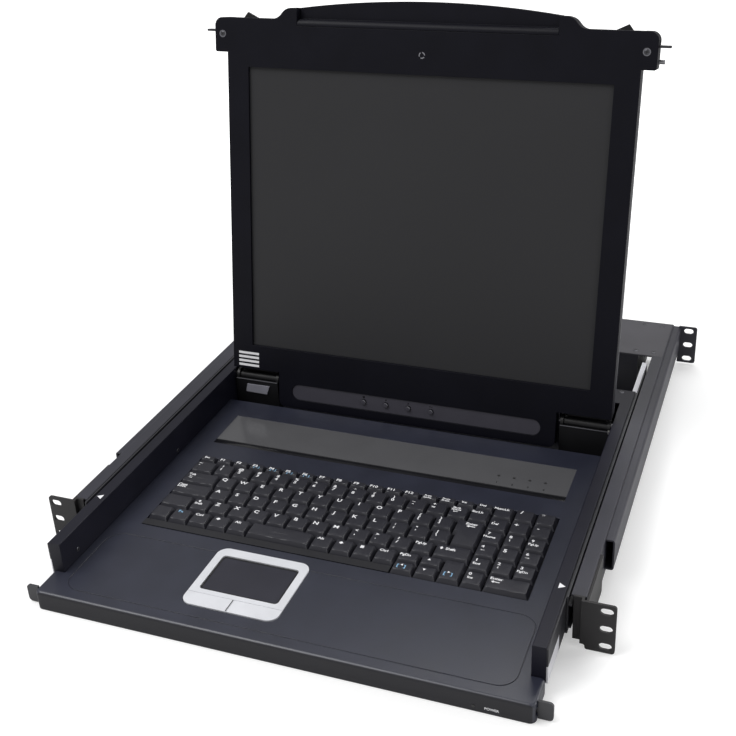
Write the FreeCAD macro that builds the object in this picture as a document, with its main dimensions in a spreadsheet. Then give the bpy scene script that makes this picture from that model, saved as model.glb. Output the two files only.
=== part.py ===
# Rack console drawer: a folding screen and a keyboard tray on three-member slides.
# Lengths in millimetres. Origin: centre of the four front rack slots, on the front
# face of the front brackets. X to the right, Y to the rear of the rack, Z up.
import FreeCAD, Part
import math
import os
import Sketcher

doc = FreeCAD.newDocument("ConsoleDrawer")
sheet = doc.addObject("Spreadsheet::Sheet", "Sizes")

SIZES = [
    # Rack fastening: EIA hole span and pitch, and the slots in the brackets
    ("rack_hole_span", 465.1),
    ("rack_hole_pitch", 15.875),
    ("slot_length", 9.6),
    ("slot_width", 6.0),
    # Front bracket: a slotted plate, its flange along the rail and its inner return
    ("bracket_setback", 2.1),
    ("bracket_margin", 6.95),
    ("bracket_height", 43.4),
    ("bracket_gauge", 2.0),
    ("bracket_step_width", 10.0),
    ("bracket_step_height", 4.2),
    ("bracket_flange", 58.0),
    ("bracket_corner", 2.5),
    ("bracket_return", 6.0),
    ("bracket_fold", 6.2),
    # Fixed frame: heights are from the underside, rack_centre is the mid slot's height
    ("rack_centre", 22.4),
    ("frame_height", 43.5),
    ("frame_length", 469.4),
    ("sheet_gauge", 1.5),
    ("sheet_bend", 0.8),
    ("rail_inset", 15.85),
    ("rail_flange", 11.3),
    ("rail_low", 6.0),
    ("rail_lip", 7.7),
    # Rear bracket: a long arm along the rail that ends in an ear
    ("arm_start", 80.0),
    ("arm_depth", 7.3),
    ("arm_top_drop", 1.5),
    ("arm_height", 28.5),
    ("arm_bend", 2.5),
    ("rear_ear_margin", 8.45),
    ("rear_ear_height", 41.5),
    # Rear housing with the electronics
    ("housing_depth", 77.4),
    ("board_width", 194.0),
    ("board_depth", 62.0),
    ("board_height", 7.0),
    ("board_thickness", 1.6),
    ("board_edge", 6.0),
    ("chip_width", 15.5),
    ("supply_width", 86.0),
    ("supply_depth", 41.8),
    ("supply_height", 30.0),
    ("inlet_inset", 39.3),
    ("inlet_width", 27.0),
    ("inlet_height", 19.5),
    ("inlet_depth", 18.0),
    ("inlet_wall", 2.0),
    ("blade_width", 5.0),
    ("switch_spacing", 40.0),
    ("switch_width", 12.0),
    ("switch_height", 18.0),
    ("switch_tilt", 7.0),
    ("switch_pin", 1.5),
    ("port_pitch", 44.0),
    ("port_width", 30.0),
    ("port_height", 11.0),
    ("port_depth", 16.0),
    ("port_proud", 3.0),
    # Slides: inner member on the drawer, middle member, outer member in the rail
    ("slide_gauge", 1.2),
    ("slide_play", 0.3),
    ("slide_inner_top", 42.0),
    ("slide_inner_low", 12.0),
    ("slide_mid_top", 44.0),
    ("slide_mid_short", 38.5),
    ("slide_lip", 1.5),
    ("slide_mouth", 3.5),
    ("slide_flange_low", 16.0),
    ("slide_flange_high", 37.2),
    ("slide_outer_start", 14.0),
    ("slide_outer_past", 22.0),
    ("slide_hook", 4.7),
    ("slide_tail", 64.0),
    # Drawer: lengths are from the tray front
    ("rear_space", 77.0),
    ("floor_height", 1.8),
    ("floor_gauge", 1.2),
    ("rail_gap", 3.9),
    ("channel_width", 10.5),
    ("channel_front", 28.0),
    ("channel_low", 13.2),
    ("channel_bend", 0.7),
    ("cover_depth", 47.0),
    ("foot_room", 21.0),
    # Deck: the moulded top of the tray
    ("deck_inset", 0.5),
    ("deck_top", 16.4),
    ("deck_wall", 2.2),
    ("deck_rear", 28.0),
    ("deck_corner", 5.0),
    ("deck_edge", 2.8),
    ("deck_chin", 11.9),
    ("groove_inset", 7.3),
    ("groove_front", 11.0),
    ("groove_corner", 15.0),
    ("groove_width", 0.8),
    ("groove_depth", 0.5),
    # Keyboard well and keys
    ("keyboard_margin", 23.15),
    ("keyboard_shift", 2.05),
    ("well_play", 0.5),
    ("palm_gap", 16.4),
    ("ledge_depth", 8.3),
    ("key_row", 18.2),
    ("function_row", 9.9),
    ("pad_narrow", 0.1),
    ("key_gap", 0.8),
    ("key_height", 4.4),
    ("key_proud", 3.2),
    ("key_taper", 1.9),
    ("key_travel", 2.0),
    ("enter_width", 22.6),
    ("enter_step", 2.8),
    ("arrow_width", 19.1),
    ("keyboard_top", 12.6),
    ("ledge_top", 17.0),
    ("stem_width", 4.4),
    ("stem_room", 1.0),
    # Touchpad
    ("pad_frame_left", -84.0),
    ("pad_frame_right", -3.0),
    ("pad_frame_front", 23.0),
    ("pad_frame_depth", 71.5),
    ("pad_frame_corner", 9.0),
    ("pad_frame_rise", 1.0),
    ("pad_border", 7.0),
    ("pad_border_front", 19.3),
    ("pad_border_back", 9.5),
    ("pad_corner", 3.0),
    ("pad_drop", 1.0),
    ("pad_button_depth", 14.0),
    ("pad_button_height", 3.4),
    ("pad_button_travel", 0.6),
    ("pad_lip", 4.0),
    ("pad_foot", 1.2),
    ("pad_tub_low", 10.0),
    ("pad_key_gap", 10.4),
    # Status strip and lamps
    ("strip_inset", 22.2),
    ("strip_gap", 25.4),
    ("strip_length", 44.0),
    ("strip_band", 7.0),
    ("strip_depth", 1.4),
    ("lamp_inset", 63.8),
    ("lamp_pitch", 14.0),
    ("lamp_row", 15.2),
    ("lamp_radius", 1.1),
    ("power_lamp_inset", 43.7),
    ("power_lamp_height", 4.4),
    # Tray release catches
    ("catch_width", 10.7),
    ("catch_gauge", 2.0),
    ("catch_y", 6.0),
    ("catch_low", 0.5),
    ("catch_high", 16.0),
    ("catch_corner", 3.0),
    ("catch_travel", 3.0),
    # Screen hinge: axis position, and the lid's place on it
    ("hinge_room", 22.0),
    ("hinge_rear", 10.0),
    ("hinge_z", 35.0),
    ("hinge_gap", 2.0),
    ("hinge_width", 46.0),
    ("hinge_margin", 3.0),
    ("barrel_radius", 5.0),
    ("knuckle_width", 2.8),
    ("knuckle_radius", 7.0),
    ("pin_radius", 2.0),
    ("pin_play", 0.05),
    ("lid_tilt", 10.0),
    ("hinge_drop", 36.0),
    # Lid: heights along the panel are from the lower edge of the picture
    ("lid_gap", 1.0),
    ("lid_border", 21.05),
    ("screen_height", 270.3),
    ("lid_thickness", 19.2),
    ("lid_wall", 2.0),
    ("bezel_depth", 10.9),
    ("bezel_face", 2.5),
    ("lid_low", -25.0),
    ("tail_gap", 3.0),
    ("tail_low", -60.0),
    ("lid_corner", 6.0),
    ("ear_rise", 12.7),
    ("ear_height", 31.0),
    ("ear_reach", 12.4),
    ("ear_radius", 7.5),
    ("ear_foot_radius", 2.0),
    ("ear_depth", 5.0),
    ("shoulder_inset", 45.5),
    ("shoulder_width", 19.5),
    ("shoulder_rise", 10.0),
    ("arch_rise", 8.0),
    ("grip_inset", 5.5),
    ("grip_drop", 5.5),
    ("grip_sill", 1.0),
    ("grip_round", 5.0),
    ("grip_depth", 7.5),
    ("control_inset", 14.0),
    ("control_low", -51.0),
    ("control_high", -35.0),
    ("control_depth", 0.9),
    ("menu_button_x", -49.6),
    ("menu_button_pitch", 22.9),
    ("menu_button_height", -43.0),
    ("menu_button_radius", 2.5),
    ("menu_button_travel", 0.7),
    ("lid_catch_drop", 13.0),
    ("lid_catch_width", 9.3),
    ("lid_catch_depth", 8.0),
    ("lid_catch_travel", 4.0),
    ("latch_pin_rise", 6.5),
    ("latch_pin_depth", 12.0),
    ("latch_pin_radius", 2.0),
    ("latch_pin_proud", 4.8),
    ("latch_pin_length", 16.0),
    ("stop_inset", 10.6),
    ("stop_width", 15.0),
    ("stop_peak", 4.1),
    ("stop_rise", 5.2),
    ("lid_seam", 0.5),
    ("lcd_rim", 10.3),
    ("lcd_depth", 10.0),
    ("lcd_driver_depth", 3.0),
    ("leaf_gauge", 2.5),
    ("leaf_height", 38.0),
]


class Size:
    """A length with its number and the sheet expression that gives it."""

    def __init__(self, text, number):
        self.text = text
        self.number = number

    def joined(self, sign, other, number):
        other_text = other.text if isinstance(other, Size) else repr(other)
        return Size(f"({self.text} {sign} {other_text})", number)

    def __add__(self, other):
        return self.joined("+", other, self.number + number_of(other))

    def __sub__(self, other):
        return self.joined("-", other, self.number - number_of(other))

    def __mul__(self, other):
        return self.joined("*", other, self.number * number_of(other))

    def __truediv__(self, other):
        return self.joined("/", other, self.number / number_of(other))

    def __rsub__(self, other):
        return -(self - other)

    def __neg__(self):
        return Size(f"(0 - {self.text})", -self.number)


def number_of(value):
    """The plain number of a Size, or of a number."""
    return value.number if isinstance(value, Size) else float(value)


class Sizes:
    """The sheet's sizes as attributes."""


def fill_sheet():
    """Write every driving dimension into the sheet and name its cell."""
    sizes = Sizes()
    for row, (name, value) in enumerate(SIZES, start=1):
        sheet.set(f"A{row}", name)
        sheet.set(f"B{row}", str(value))
        sheet.setAlias(f"B{row}", name)
        setattr(sizes, name, Size(f"Sizes.{name}", float(value)))
    doc.recompute()
    return sizes


s = fill_sheet()
nodes = []


def derive_widths():
    """Places across the rack: every piece follows from the rack's hole span."""
    half_span = s.rack_hole_span / 2
    s.rail_outer = half_span - s.rail_inset
    s.rail_inner = s.rail_outer - s.rail_flange
    s.bracket_inner = s.rail_inner + s.bracket_setback
    s.bracket_outer = half_span + s.bracket_margin
    s.arm_outer = s.rail_outer + s.arm_depth
    s.rear_ear_outer = half_span + s.rear_ear_margin
    s.slide_mid_reach = s.rail_inner + s.slide_lip
    s.channel_outer = s.rail_inner - s.rail_gap
    s.channel_inner = s.channel_outer - s.channel_width
    s.housing_half = s.channel_inner + s.slide_play
    s.inlet_x = s.housing_half - s.inlet_inset
    s.switch_x = s.inlet_x - s.switch_spacing
    s.deck_half = s.channel_outer - s.deck_inset
    s.deck_inner_half = s.channel_inner - s.slide_play
    s.groove_half = s.deck_inner_half - s.groove_inset
    s.strip_half = s.deck_inner_half - s.strip_inset
    s.lamp_x = s.strip_half - s.lamp_inset
    s.power_lamp_x = s.deck_half - s.power_lamp_inset
    s.hinge_outer = s.channel_inner - s.hinge_gap
    s.hinge_inner = s.hinge_outer - s.hinge_width
    s.tail_half = s.hinge_inner - s.tail_gap
    s.control_half = s.tail_half - s.control_inset
    s.lid_half = s.channel_inner - s.lid_gap
    s.screen_width = (s.lid_half - s.lid_border) * 2
    s.ear_half = s.lid_half + s.ear_reach
    s.shoulder_half = s.lid_half - s.shoulder_inset
    s.arch_half = s.shoulder_half - s.shoulder_width
    s.grip_half = s.arch_half - s.grip_inset


def derive_keyboard():
    """Key pitches: the keyboard fills the deck between its margins."""
    width = (s.deck_inner_half - s.keyboard_margin) * 2
    s.key_pitch = (width - s.enter_width + s.pad_narrow * 3) / 17
    s.pad_pitch = s.key_pitch - s.pad_narrow
    s.key_area_width = s.enter_width + s.key_pitch * 14
    s.key_area_left = width / 2 - s.keyboard_shift
    s.tab_width = s.key_area_width - s.enter_width - s.enter_step - s.key_pitch * 12
    s.caps_width = s.key_pitch * 2
    s.shift_width = s.key_pitch * 1.5
    s.well_left = s.key_area_left + s.well_play
    s.well_right = s.key_area_width - s.key_area_left + s.pad_pitch * 3 + s.well_play
    s.stem_slot_depth = s.key_travel + s.stem_room


def derive_lengths():
    """Places along the drawer, from the tray front to the rear, and along the frame."""
    s.pad_frame_back = s.pad_frame_front + s.pad_frame_depth
    s.pad_front = s.pad_frame_back + s.pad_key_gap
    s.groove_back = s.pad_front - s.palm_gap
    s.well_front = s.pad_front - s.well_play
    s.main_front = s.pad_front + s.ledge_depth
    s.well_back = s.main_front + s.key_row * 5 + s.function_row + s.well_play
    s.strip_front = s.well_back + s.strip_gap + s.strip_band
    s.strip_back = s.strip_front + s.strip_length
    s.lamp_y = s.strip_front + s.lamp_row
    s.deck_back = s.strip_back + s.deck_rear
    s.hinge_y = s.deck_back + s.hinge_room
    s.channel_back = s.hinge_y + s.hinge_rear
    s.hinge_well_back = s.channel_back + s.foot_room
    s.drawer_length = s.channel_back + s.cover_depth
    s.housing_start = s.frame_length - s.housing_depth
    s.drawer_out = s.drawer_length - s.housing_start + s.rear_space
    s.rail_start = s.bracket_return
    s.slide_outer_length = s.housing_start + s.slide_outer_past - s.slide_outer_start
    s.slide_mid_length = s.housing_start - s.slide_mid_short - s.sheet_gauge


def derive_heights():
    """Heights along the lid, which follow from the picture's height."""
    s.ear_low = s.screen_height + s.ear_rise
    s.ear_top = s.ear_low + s.ear_height
    s.arch_start = s.ear_top + s.shoulder_rise
    s.arch_top = s.arch_start + s.arch_rise
    s.grip_low = s.ear_top - s.grip_drop
    s.lid_catch_height = s.ear_top - s.lid_catch_drop
    s.latch_pin_height = s.ear_low + s.latch_pin_rise
    s.pad_frame_top = s.deck_top + s.pad_frame_rise
    s.pad_left = s.pad_frame_left + s.pad_border
    s.pad_right = s.pad_frame_right - s.pad_border
    s.pad_low = s.pad_frame_front + s.pad_border_front
    s.pad_high = s.pad_frame_back - s.pad_border_back
    s.pad_button_back = s.pad_frame_front + s.pad_button_depth


derive_widths()
derive_keyboard()
derive_lengths()
derive_heights()


def link(thing, prop, value):
    """Bind a property to a sheet expression, or set a plain number."""
    if isinstance(value, Size):
        thing.setExpression(prop, value.text)
    else:
        thing.setExpression(prop, repr(float(value)))


def volume(thing):
    doc.recompute()
    return thing.Shape.Volume


# Solids from primitives

def block(name, x, y, z):
    """A block from its low and high limits along each axis."""
    box = doc.addObject("Part::Box", name)
    for axis, side, (low, high) in zip("xyz", ("Length", "Width", "Height"), (x, y, z)):
        link(box, side, high - low)
        link(box, f"Placement.Base.{axis}", low)
    return box


TURNS = {
    "x": FreeCAD.Rotation(FreeCAD.Vector(0, 1, 0), 90),
    "y": FreeCAD.Rotation(FreeCAD.Vector(1, 0, 0), -90),
    "z": FreeCAD.Rotation(),
}


def rod(name, axis, radius, centre, low, high):
    """A cylinder along an axis, centred at the two other coordinates."""
    cylinder = doc.addObject("Part::Cylinder", name)
    cylinder.Placement = FreeCAD.Placement(FreeCAD.Vector(), TURNS[axis])
    link(cylinder, "Radius", radius)
    link(cylinder, "Height", high - low)
    link(cylinder, f"Placement.Base.{axis}", low)
    for other, value in zip([a for a in "xyz" if a != axis], centre):
        link(cylinder, f"Placement.Base.{other}", value)
    return cylinder


def fuse(name, parts):
    result = doc.addObject("Part::MultiFuse", name)
    result.Shapes = parts
    result.Refine = True
    return result


def cut(name, base, tools):
    """Take tools away from a base, and check that something was taken."""
    tool = tools[0] if len(tools) == 1 else fuse(f"{name}_tools", tools)
    result = doc.addObject("Part::Cut", name)
    result.Base = base
    result.Tool = tool
    result.Refine = True
    before = volume(base)
    if volume(result) > before - 0.01:
        raise RuntimeError(f"{name}: the cut takes nothing away")
    return result


def together(name, parts):
    """Separate solids that share one node."""
    group = doc.addObject("Part::Compound", name)
    group.Links = parts
    return group


def mirrored(name, source):
    """The left-hand twin of a right-hand piece."""
    twin = doc.addObject("Part::Mirroring", name)
    twin.Source = source
    twin.Normal = FreeCAD.Vector(1, 0, 0)
    return twin


# Solids from sketches

def new_body(name):
    return doc.addObject("PartDesign::Body", f"{name}_body")


def plane_sketch(body, plane, offset):
    """An empty sketch on one of the body's own planes, moved along the normal."""
    number = sum(1 for item in body.Group if item.TypeId.startswith("Sketcher"))
    sketch = body.newObject("Sketcher::SketchObject", f"{body.Name}_sketch{number}")
    support = next(item for item in body.Origin.OriginFeatures if item.Role == plane)
    sketch.AttachmentSupport = [(support, "")]
    sketch.MapMode = "FlatFace"
    link(sketch, "AttachmentOffset.Base.z", offset)
    return sketch


def pin_point(sketch, geometry, point, place):
    """Hold a sketch point at a place, whose coordinates may be negative or zero."""
    for kind, axis_line, value in (("DistanceX", -2, place[0]), ("DistanceY", -1, place[1])):
        number = number_of(value)
        if abs(number) < 1e-9:
            sketch.addConstraint(Sketcher.Constraint("PointOnObject", geometry, point, axis_line))
            continue
        if number > 0:
            rule = Sketcher.Constraint(kind, -1, 1, geometry, point, number)
        else:
            rule = Sketcher.Constraint(kind, geometry, point, -1, 1, -number)
        index = sketch.addConstraint(rule)
        if isinstance(value, Size):
            signed = value if number > 0 else -value
            sketch.setExpression(f"Constraints[{index}]", signed.text)


def arc_between(start, end, radius):
    """An arc that bulges to the right of the way, or to the left if radius is negative."""
    chord = end - start
    right = FreeCAD.Vector(chord.y, -chord.x, 0).normalize() * math.copysign(1, radius)
    rise = abs(radius) - math.sqrt(radius**2 - (chord.Length / 2)**2)
    return Part.Arc(start, (start + end) * 0.5 + right * rise, end)


def draw(sketch, corners):
    """Draw a closed outline. A corner may hold a third value: the radius of the arc
    that leads to it from the corner before."""
    flat = [FreeCAD.Vector(number_of(c[0]), number_of(c[1]), 0) for c in corners]
    first = sketch.GeometryCount
    count = len(corners)
    ends = []
    for i in range(count):
        start, end, goal = flat[i], flat[(i + 1) % count], corners[(i + 1) % count]
        if len(goal) == 3:
            radius = goal[2] if number_of(goal[2]) > 0 else -goal[2]
            index = sketch.addGeometry(arc_between(start, end, number_of(goal[2])))
            along = (sketch.getPoint(index, 1) - start).Length < 1e-6
            ends.append((1, 2) if along else (2, 1))
            rule = sketch.addConstraint(Sketcher.Constraint("Radius", index, radius.number))
            sketch.setExpression(f"Constraints[{rule}]", radius.text)
        else:
            sketch.addGeometry(Part.LineSegment(start, end))
            ends.append((1, 2))
    for i in range(count):
        here, after = first + i, first + (i + 1) % count
        sketch.addConstraint(
            Sketcher.Constraint("Coincident", here, ends[i][1], after, ends[(i + 1) % count][0]))
        pin_point(sketch, here, ends[i][0], corners[i])


def frame_corners(u, v):
    """The corners of an upright rectangle from its limits."""
    return [(u[0], v[0]), (u[1], v[0]), (u[1], v[1]), (u[0], v[1])]


def draw_slot(sketch, centre, length, width):
    """Draw a slot with round ends, its long side along the sketch's first axis."""
    reach = (length - width) / 2
    half = number_of(width) / 2
    ends = []
    for side, angles in ((1, (-math.pi / 2, math.pi / 2)), (-1, (math.pi / 2, 3 * math.pi / 2))):
        hub = (centre[0] + reach * side, centre[1])
        circle = Part.Circle(FreeCAD.Vector(number_of(hub[0]), number_of(hub[1]), 0),
                             FreeCAD.Vector(0, 0, 1), half)
        arc = sketch.addGeometry(Part.ArcOfCircle(circle, *angles))
        pin_point(sketch, arc, 3, hub)
        radius = sketch.addConstraint(Sketcher.Constraint("Radius", arc, half))
        sketch.setExpression(f"Constraints[{radius}]", (width / 2).text)
        for point in (1, 2):
            sketch.addConstraint(Sketcher.Constraint("Vertical", arc, point, arc, 3))
        ends.append(arc)
    for here, after in ((0, 1), (1, 0)):
        start = sketch.getPoint(ends[here], 2)
        end = sketch.getPoint(ends[after], 1)
        line = sketch.addGeometry(Part.LineSegment(start, end))
        sketch.addConstraint(Sketcher.Constraint("Coincident", ends[here], 2, line, 1))
        sketch.addConstraint(Sketcher.Constraint("Coincident", line, 2, ends[after], 1))


def pad(body, sketch, length, backwards=False):
    feature = body.newObject("PartDesign::Pad", f"{sketch.Name}_pad")
    feature.Profile = sketch
    link(feature, "Length", length)
    feature.Reversed = backwards
    return feature


def pocket(body, sketch, depth, backwards=False):
    """Cut a sketch into the body, and check that something was cut."""
    before = volume(body)
    feature = body.newObject("PartDesign::Pocket", f"{sketch.Name}_pocket")
    feature.Profile = sketch
    link(feature, "Length", depth)
    feature.Reversed = backwards
    if volume(body) > before - 0.001:
        raise RuntimeError(f"{sketch.Name}: the pocket cuts nothing")
    return feature


def repeat_along(body, feature, axis, step, count):
    """Repeat a feature along one of the body's axes."""
    before = volume(body)
    pattern = body.newObject("PartDesign::LinearPattern", f"{feature.Name}_row")
    pattern.Originals = [feature]
    line = next(item for item in body.Origin.OriginFeatures if item.Role == axis)
    pattern.Direction = (line, [""])
    pattern.Mode = "Spacing"
    link(pattern, "Offset", step)
    pattern.Occurrences = count
    body.Tip = pattern
    if volume(body) > before - 0.001:
        raise RuntimeError(f"{feature.Name}: the pattern adds nothing")
    return pattern


AXES = {"x": FreeCAD.Vector(1, 0, 0), "y": FreeCAD.Vector(0, 1, 0), "z": FreeCAD.Vector(0, 0, 1)}


def edges_along(shape, axis, spots):
    """Names of the straight edges along an axis that pass through the given spots."""
    names = []
    others = [a for a in "xyz" if a != axis]
    for index, edge in enumerate(shape.Edges, start=1):
        if edge.Curve.TypeId != "Part::GeomLine":
            continue
        if abs(abs(edge.tangentAt(edge.FirstParameter).dot(AXES[axis])) - 1) > 1e-6:
            continue
        middle = edge.CenterOfMass
        here = [getattr(middle, other) for other in others]
        for spot in spots:
            if all(abs(a - number_of(b)) < 0.01 for a, b in zip(here, spot)):
                names.append(f"Edge{index}")
                break
    return names


def round_edges(body, axis, spots, radius):
    """Round the edges of a body that run along an axis through the given spots."""
    doc.recompute()
    base = body.Tip
    names = edges_along(base.Shape, axis, spots)
    if len(names) < len(spots):
        raise RuntimeError(f"{body.Name}: {len(names)} edges found for {len(spots)} spots")
    feature = body.newObject("PartDesign::Fillet", f"{base.Name}_round")
    feature.Base = (base, names)
    link(feature, "Radius", radius)
    return feature


# Where each group of pieces stands

def place_frame(thing):
    """Fixed pieces: y from the bracket face, z from the underside."""
    link(thing, "Placement.Base.z", -s.rack_centre)


def place_tray(thing):
    """Drawer pieces: y from the tray front, z from the underside."""
    link(thing, "Placement.Base.y", -s.drawer_out)
    link(thing, "Placement.Base.z", -s.rack_centre)


def place_lid(thing):
    """Lid pieces: drawn upright about the hinge axis, then tilted back."""
    thing.Placement = FreeCAD.Placement(
        FreeCAD.Vector(), FreeCAD.Rotation(FreeCAD.Vector(-1, 0, 0), s.lid_tilt.number))
    link(thing, "Placement.Rotation.Angle", s.lid_tilt)
    link(thing, "Placement.Base.y", s.hinge_y - s.drawer_out)
    link(thing, "Placement.Base.z", s.hinge_z - s.rack_centre)


def node(name, thing, place):
    """Register a finished piece under its own name."""
    place(thing)
    thing.Label = name
    nodes.append(thing)
    return thing


def node_pair(name, source, place):
    """Register a right-hand piece, and its mirrored twin on the left."""
    node(f"{name}_right", source, place)
    twin = mirrored(f"{name}_twin", source)
    twin.Label = f"{name}_left"
    nodes.append(twin)


def both_sides(name, source, place):
    """Register a right-hand piece and its mirrored twin as one node."""
    node(name, together(f"{name}_both", [source, mirrored(f"{name}_twin", source)]), place)


# Fixed frame

def rack_slots(body, start):
    """Three rack slots in a bracket plate, one rack pitch apart."""
    sketch = plane_sketch(body, "XZ_Plane", start)
    centre = (s.rack_hole_span / 2, s.rack_centre - s.rack_hole_pitch)
    draw_slot(sketch, centre, s.slot_length, s.slot_width)
    feature = pocket(body, sketch, s.bracket_gauge)
    repeat_along(body, feature, "Z_Axis", s.rack_hole_pitch, 3)


def front_bracket():
    """The slotted plate with its stepped foot, a flange on the rail and an inner return."""
    body = new_body("front_bracket")
    gauge = s.bracket_gauge
    low = s.rack_centre - s.bracket_height / 2
    high = s.rack_centre + s.bracket_height / 2
    step = s.bracket_inner + s.bracket_step_width
    step_low = low + s.bracket_step_height
    fold = s.bracket_inner + s.bracket_fold
    plate = plane_sketch(body, "XZ_Plane", 0)
    draw(plate, [(fold, step_low), (step, step_low), (step, low), (s.bracket_outer, low),
                 (s.bracket_outer, high), (fold, high)])
    pad(body, plate, gauge, backwards=True)
    bend = plane_sketch(body, "XY_Plane", step_low)
    back = s.bracket_return
    draw(bend, [(s.bracket_inner, back - gauge), (fold, back - gauge), (fold, 0), (fold + gauge, 0),
                (fold + gauge, back), (s.bracket_inner, back)])
    pad(body, bend, high - step_low)
    flange = plane_sketch(body, "XZ_Plane", -gauge)
    draw(flange, frame_corners((s.rail_outer, s.rail_outer + gauge),
                               (step_low + s.bracket_corner, high - gauge)))
    pad(body, flange, s.bracket_flange, backwards=True)
    round_edges(body, "y", [(s.bracket_outer, low), (s.bracket_outer, high)], s.bracket_corner)
    round_edges(body, "y", [(step, low), (step, step_low)], s.bracket_step_height * 0.4)
    rack_slots(body, 0)
    node_pair("front_bracket", body, place_frame)


def rail():
    """A channel open towards the drawer; its top flange stops at the rear cover."""
    body = new_body("rail")
    gauge = s.sheet_gauge
    low, web = s.rail_low, s.rail_outer - s.sheet_gauge
    section = plane_sketch(body, "XZ_Plane", -s.rail_start)
    draw(section, [(s.rail_outer - s.rail_lip, low), (s.rail_outer, low), (s.rail_outer, s.frame_height),
                   (s.rail_inner, s.frame_height), (s.rail_inner, s.frame_height - gauge),
                   (web, s.frame_height - gauge), (web, low + gauge),
                   (s.rail_outer - s.rail_lip, low + gauge)])
    pad(body, section, s.frame_length - s.rail_start, backwards=True)
    notch = plane_sketch(body, "XY_Plane", s.frame_height)
    draw(notch, frame_corners((s.rail_inner - gauge, web), (s.housing_start, s.frame_length + gauge)))
    pocket(body, notch, gauge)
    round_edges(body, "y", [(s.rail_outer, low), (s.rail_outer, s.frame_height)], s.sheet_bend)
    node_pair("rail", body, place_frame)


def rear_bracket():
    """A channel-shaped arm screwed along the rail, bent out into a slotted ear."""
    body = new_body("rear_bracket")
    gauge = s.sheet_gauge
    low = s.rack_centre - s.rear_ear_height / 2
    high = s.rack_centre + s.rear_ear_height / 2
    arm_high = s.frame_height - s.arm_top_drop
    arm_low = arm_high - s.arm_height
    web = s.arm_outer - gauge
    section = plane_sketch(body, "XZ_Plane", -s.arm_start)
    draw(section, [(s.rail_outer, arm_low), (s.arm_outer, arm_low), (s.arm_outer, arm_high),
                   (s.rail_outer, arm_high), (s.rail_outer, arm_high - gauge),
                   (web, arm_high - gauge), (web, arm_low + gauge), (s.rail_outer, arm_low + gauge)])
    pad(body, section, s.frame_length - s.arm_start, backwards=True)
    round_edges(body, "y", [(s.arm_outer, arm_low), (s.arm_outer, arm_high)], s.arm_bend)
    ear = plane_sketch(body, "XZ_Plane", -(s.frame_length - s.bracket_gauge))
    draw(ear, frame_corners((web, s.rear_ear_outer), (low, high)))
    pad(body, ear, s.bracket_gauge, backwards=True)
    round_edges(body, "y", [(s.rear_ear_outer, low), (s.rear_ear_outer, high)], s.bracket_corner)
    rack_slots(body, s.bracket_gauge - s.frame_length)
    node_pair("rear_bracket", body, place_frame)


def port_centres():
    """Middles of the computer ports across the rear panel."""
    return [s.port_pitch * step for step in (-2.5, -1.5, -0.5, 0.5)]


def port_height_limits():
    low = s.board_height + s.board_thickness
    return low, low + s.port_height


def switch_centre_height():
    return s.frame_height / 2


def rear_housing():
    """Floor, front wall, side walls and the full-width rear panel with its cut-outs."""
    gauge = s.sheet_gauge
    top = s.frame_height - gauge
    end = s.frame_length
    web = s.rail_outer - gauge
    shell = block("housing_outer", (-s.housing_half, s.housing_half), (s.housing_start, end),
                  (0, top))
    room = block("housing_room", (gauge - s.housing_half, s.housing_half - gauge),
                 (s.housing_start + gauge, end - gauge), (gauge, top + gauge))
    panel = block("housing_panel", (-web, web), (end - gauge, end), (s.rail_low + gauge, top))
    walls = fuse("housing_walls", [cut("housing_shell", shell, [room]), panel])
    play = s.slide_play
    middle = switch_centre_height()
    tools = [
        block("inlet_hole", (s.inlet_x - s.inlet_width / 2, s.inlet_x + s.inlet_width / 2),
              (end - gauge * 2, end + gauge),
              (middle - s.inlet_height / 2, middle + s.inlet_height / 2)),
        block("switch_hole", (s.switch_x - s.switch_width / 2 - play, s.switch_x + s.switch_width / 2 + play),
              (end - gauge * 2, end + gauge),
              (middle - s.switch_height / 2 - gauge, middle + s.switch_height / 2 + gauge)),
    ]
    low, high = port_height_limits()
    for index, x in enumerate(port_centres()):
        tools.append(block(f"port_hole{index}", (x - s.port_width / 2 - play, x + s.port_width / 2 + play),
                           (end - gauge * 2, end + gauge), (low - play, high + play)))
    vents = []
    for side in (-1, 1):
        for step in range(8):
            y = s.housing_start + gauge * 6 + gauge * 5 * step
            x_low, x_high = (s.housing_half - gauge * 2, s.housing_half + gauge)
            limits = (x_low, x_high) if side > 0 else (-x_high, -x_low)
            vents.append(block(f"vent{side + 1}_{step}", limits, (y, y + gauge * 2),
                               (s.frame_height / 4, s.frame_height / 4 * 3)))
    node("rear_housing", cut("housing_done", walls, tools + vents), place_frame)


def rear_cover():
    """The flat lid over the housing, reaching out to both rails."""
    gauge = s.sheet_gauge
    web = s.rail_outer - gauge
    body = new_body("rear_cover")
    sheet_plan = plane_sketch(body, "XY_Plane", s.frame_height - gauge)
    draw(sheet_plan, frame_corners((-web, web), (s.housing_start, s.frame_length)))
    pad(body, sheet_plan, gauge)
    round_edges(body, "x", [(s.housing_start, s.frame_height)], s.sheet_bend)
    node("rear_cover", body, place_frame)


def main_board():
    """The circuit board on four posts, with its larger chips."""
    gauge, edge = s.sheet_gauge, s.board_edge
    low = s.board_height
    left = -s.port_pitch * 3
    right = left + s.board_width
    front = s.frame_length - s.board_depth - gauge * 3
    back = front + s.board_depth
    pieces = [block("board_plate", (left, right), (front, back), (low, low + s.board_thickness))]
    for x in (left + edge, right - edge):
        for y in (front + edge, back - s.port_depth + gauge):
            pieces.append(rod(f"post{len(pieces)}", "z", s.board_height / 3, (x, y), gauge, low))
    for step in range(3):
        x = left + s.port_pitch * (1 + step)
        y = front + edge * 2
        pieces.append(block(f"chip{step}", (x, x + s.chip_width), (y, y + s.chip_width),
                            (low + s.board_thickness, low + s.board_thickness * 2.5)))
    node("main_board", fuse("main_board_done", pieces), place_frame)


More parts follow.
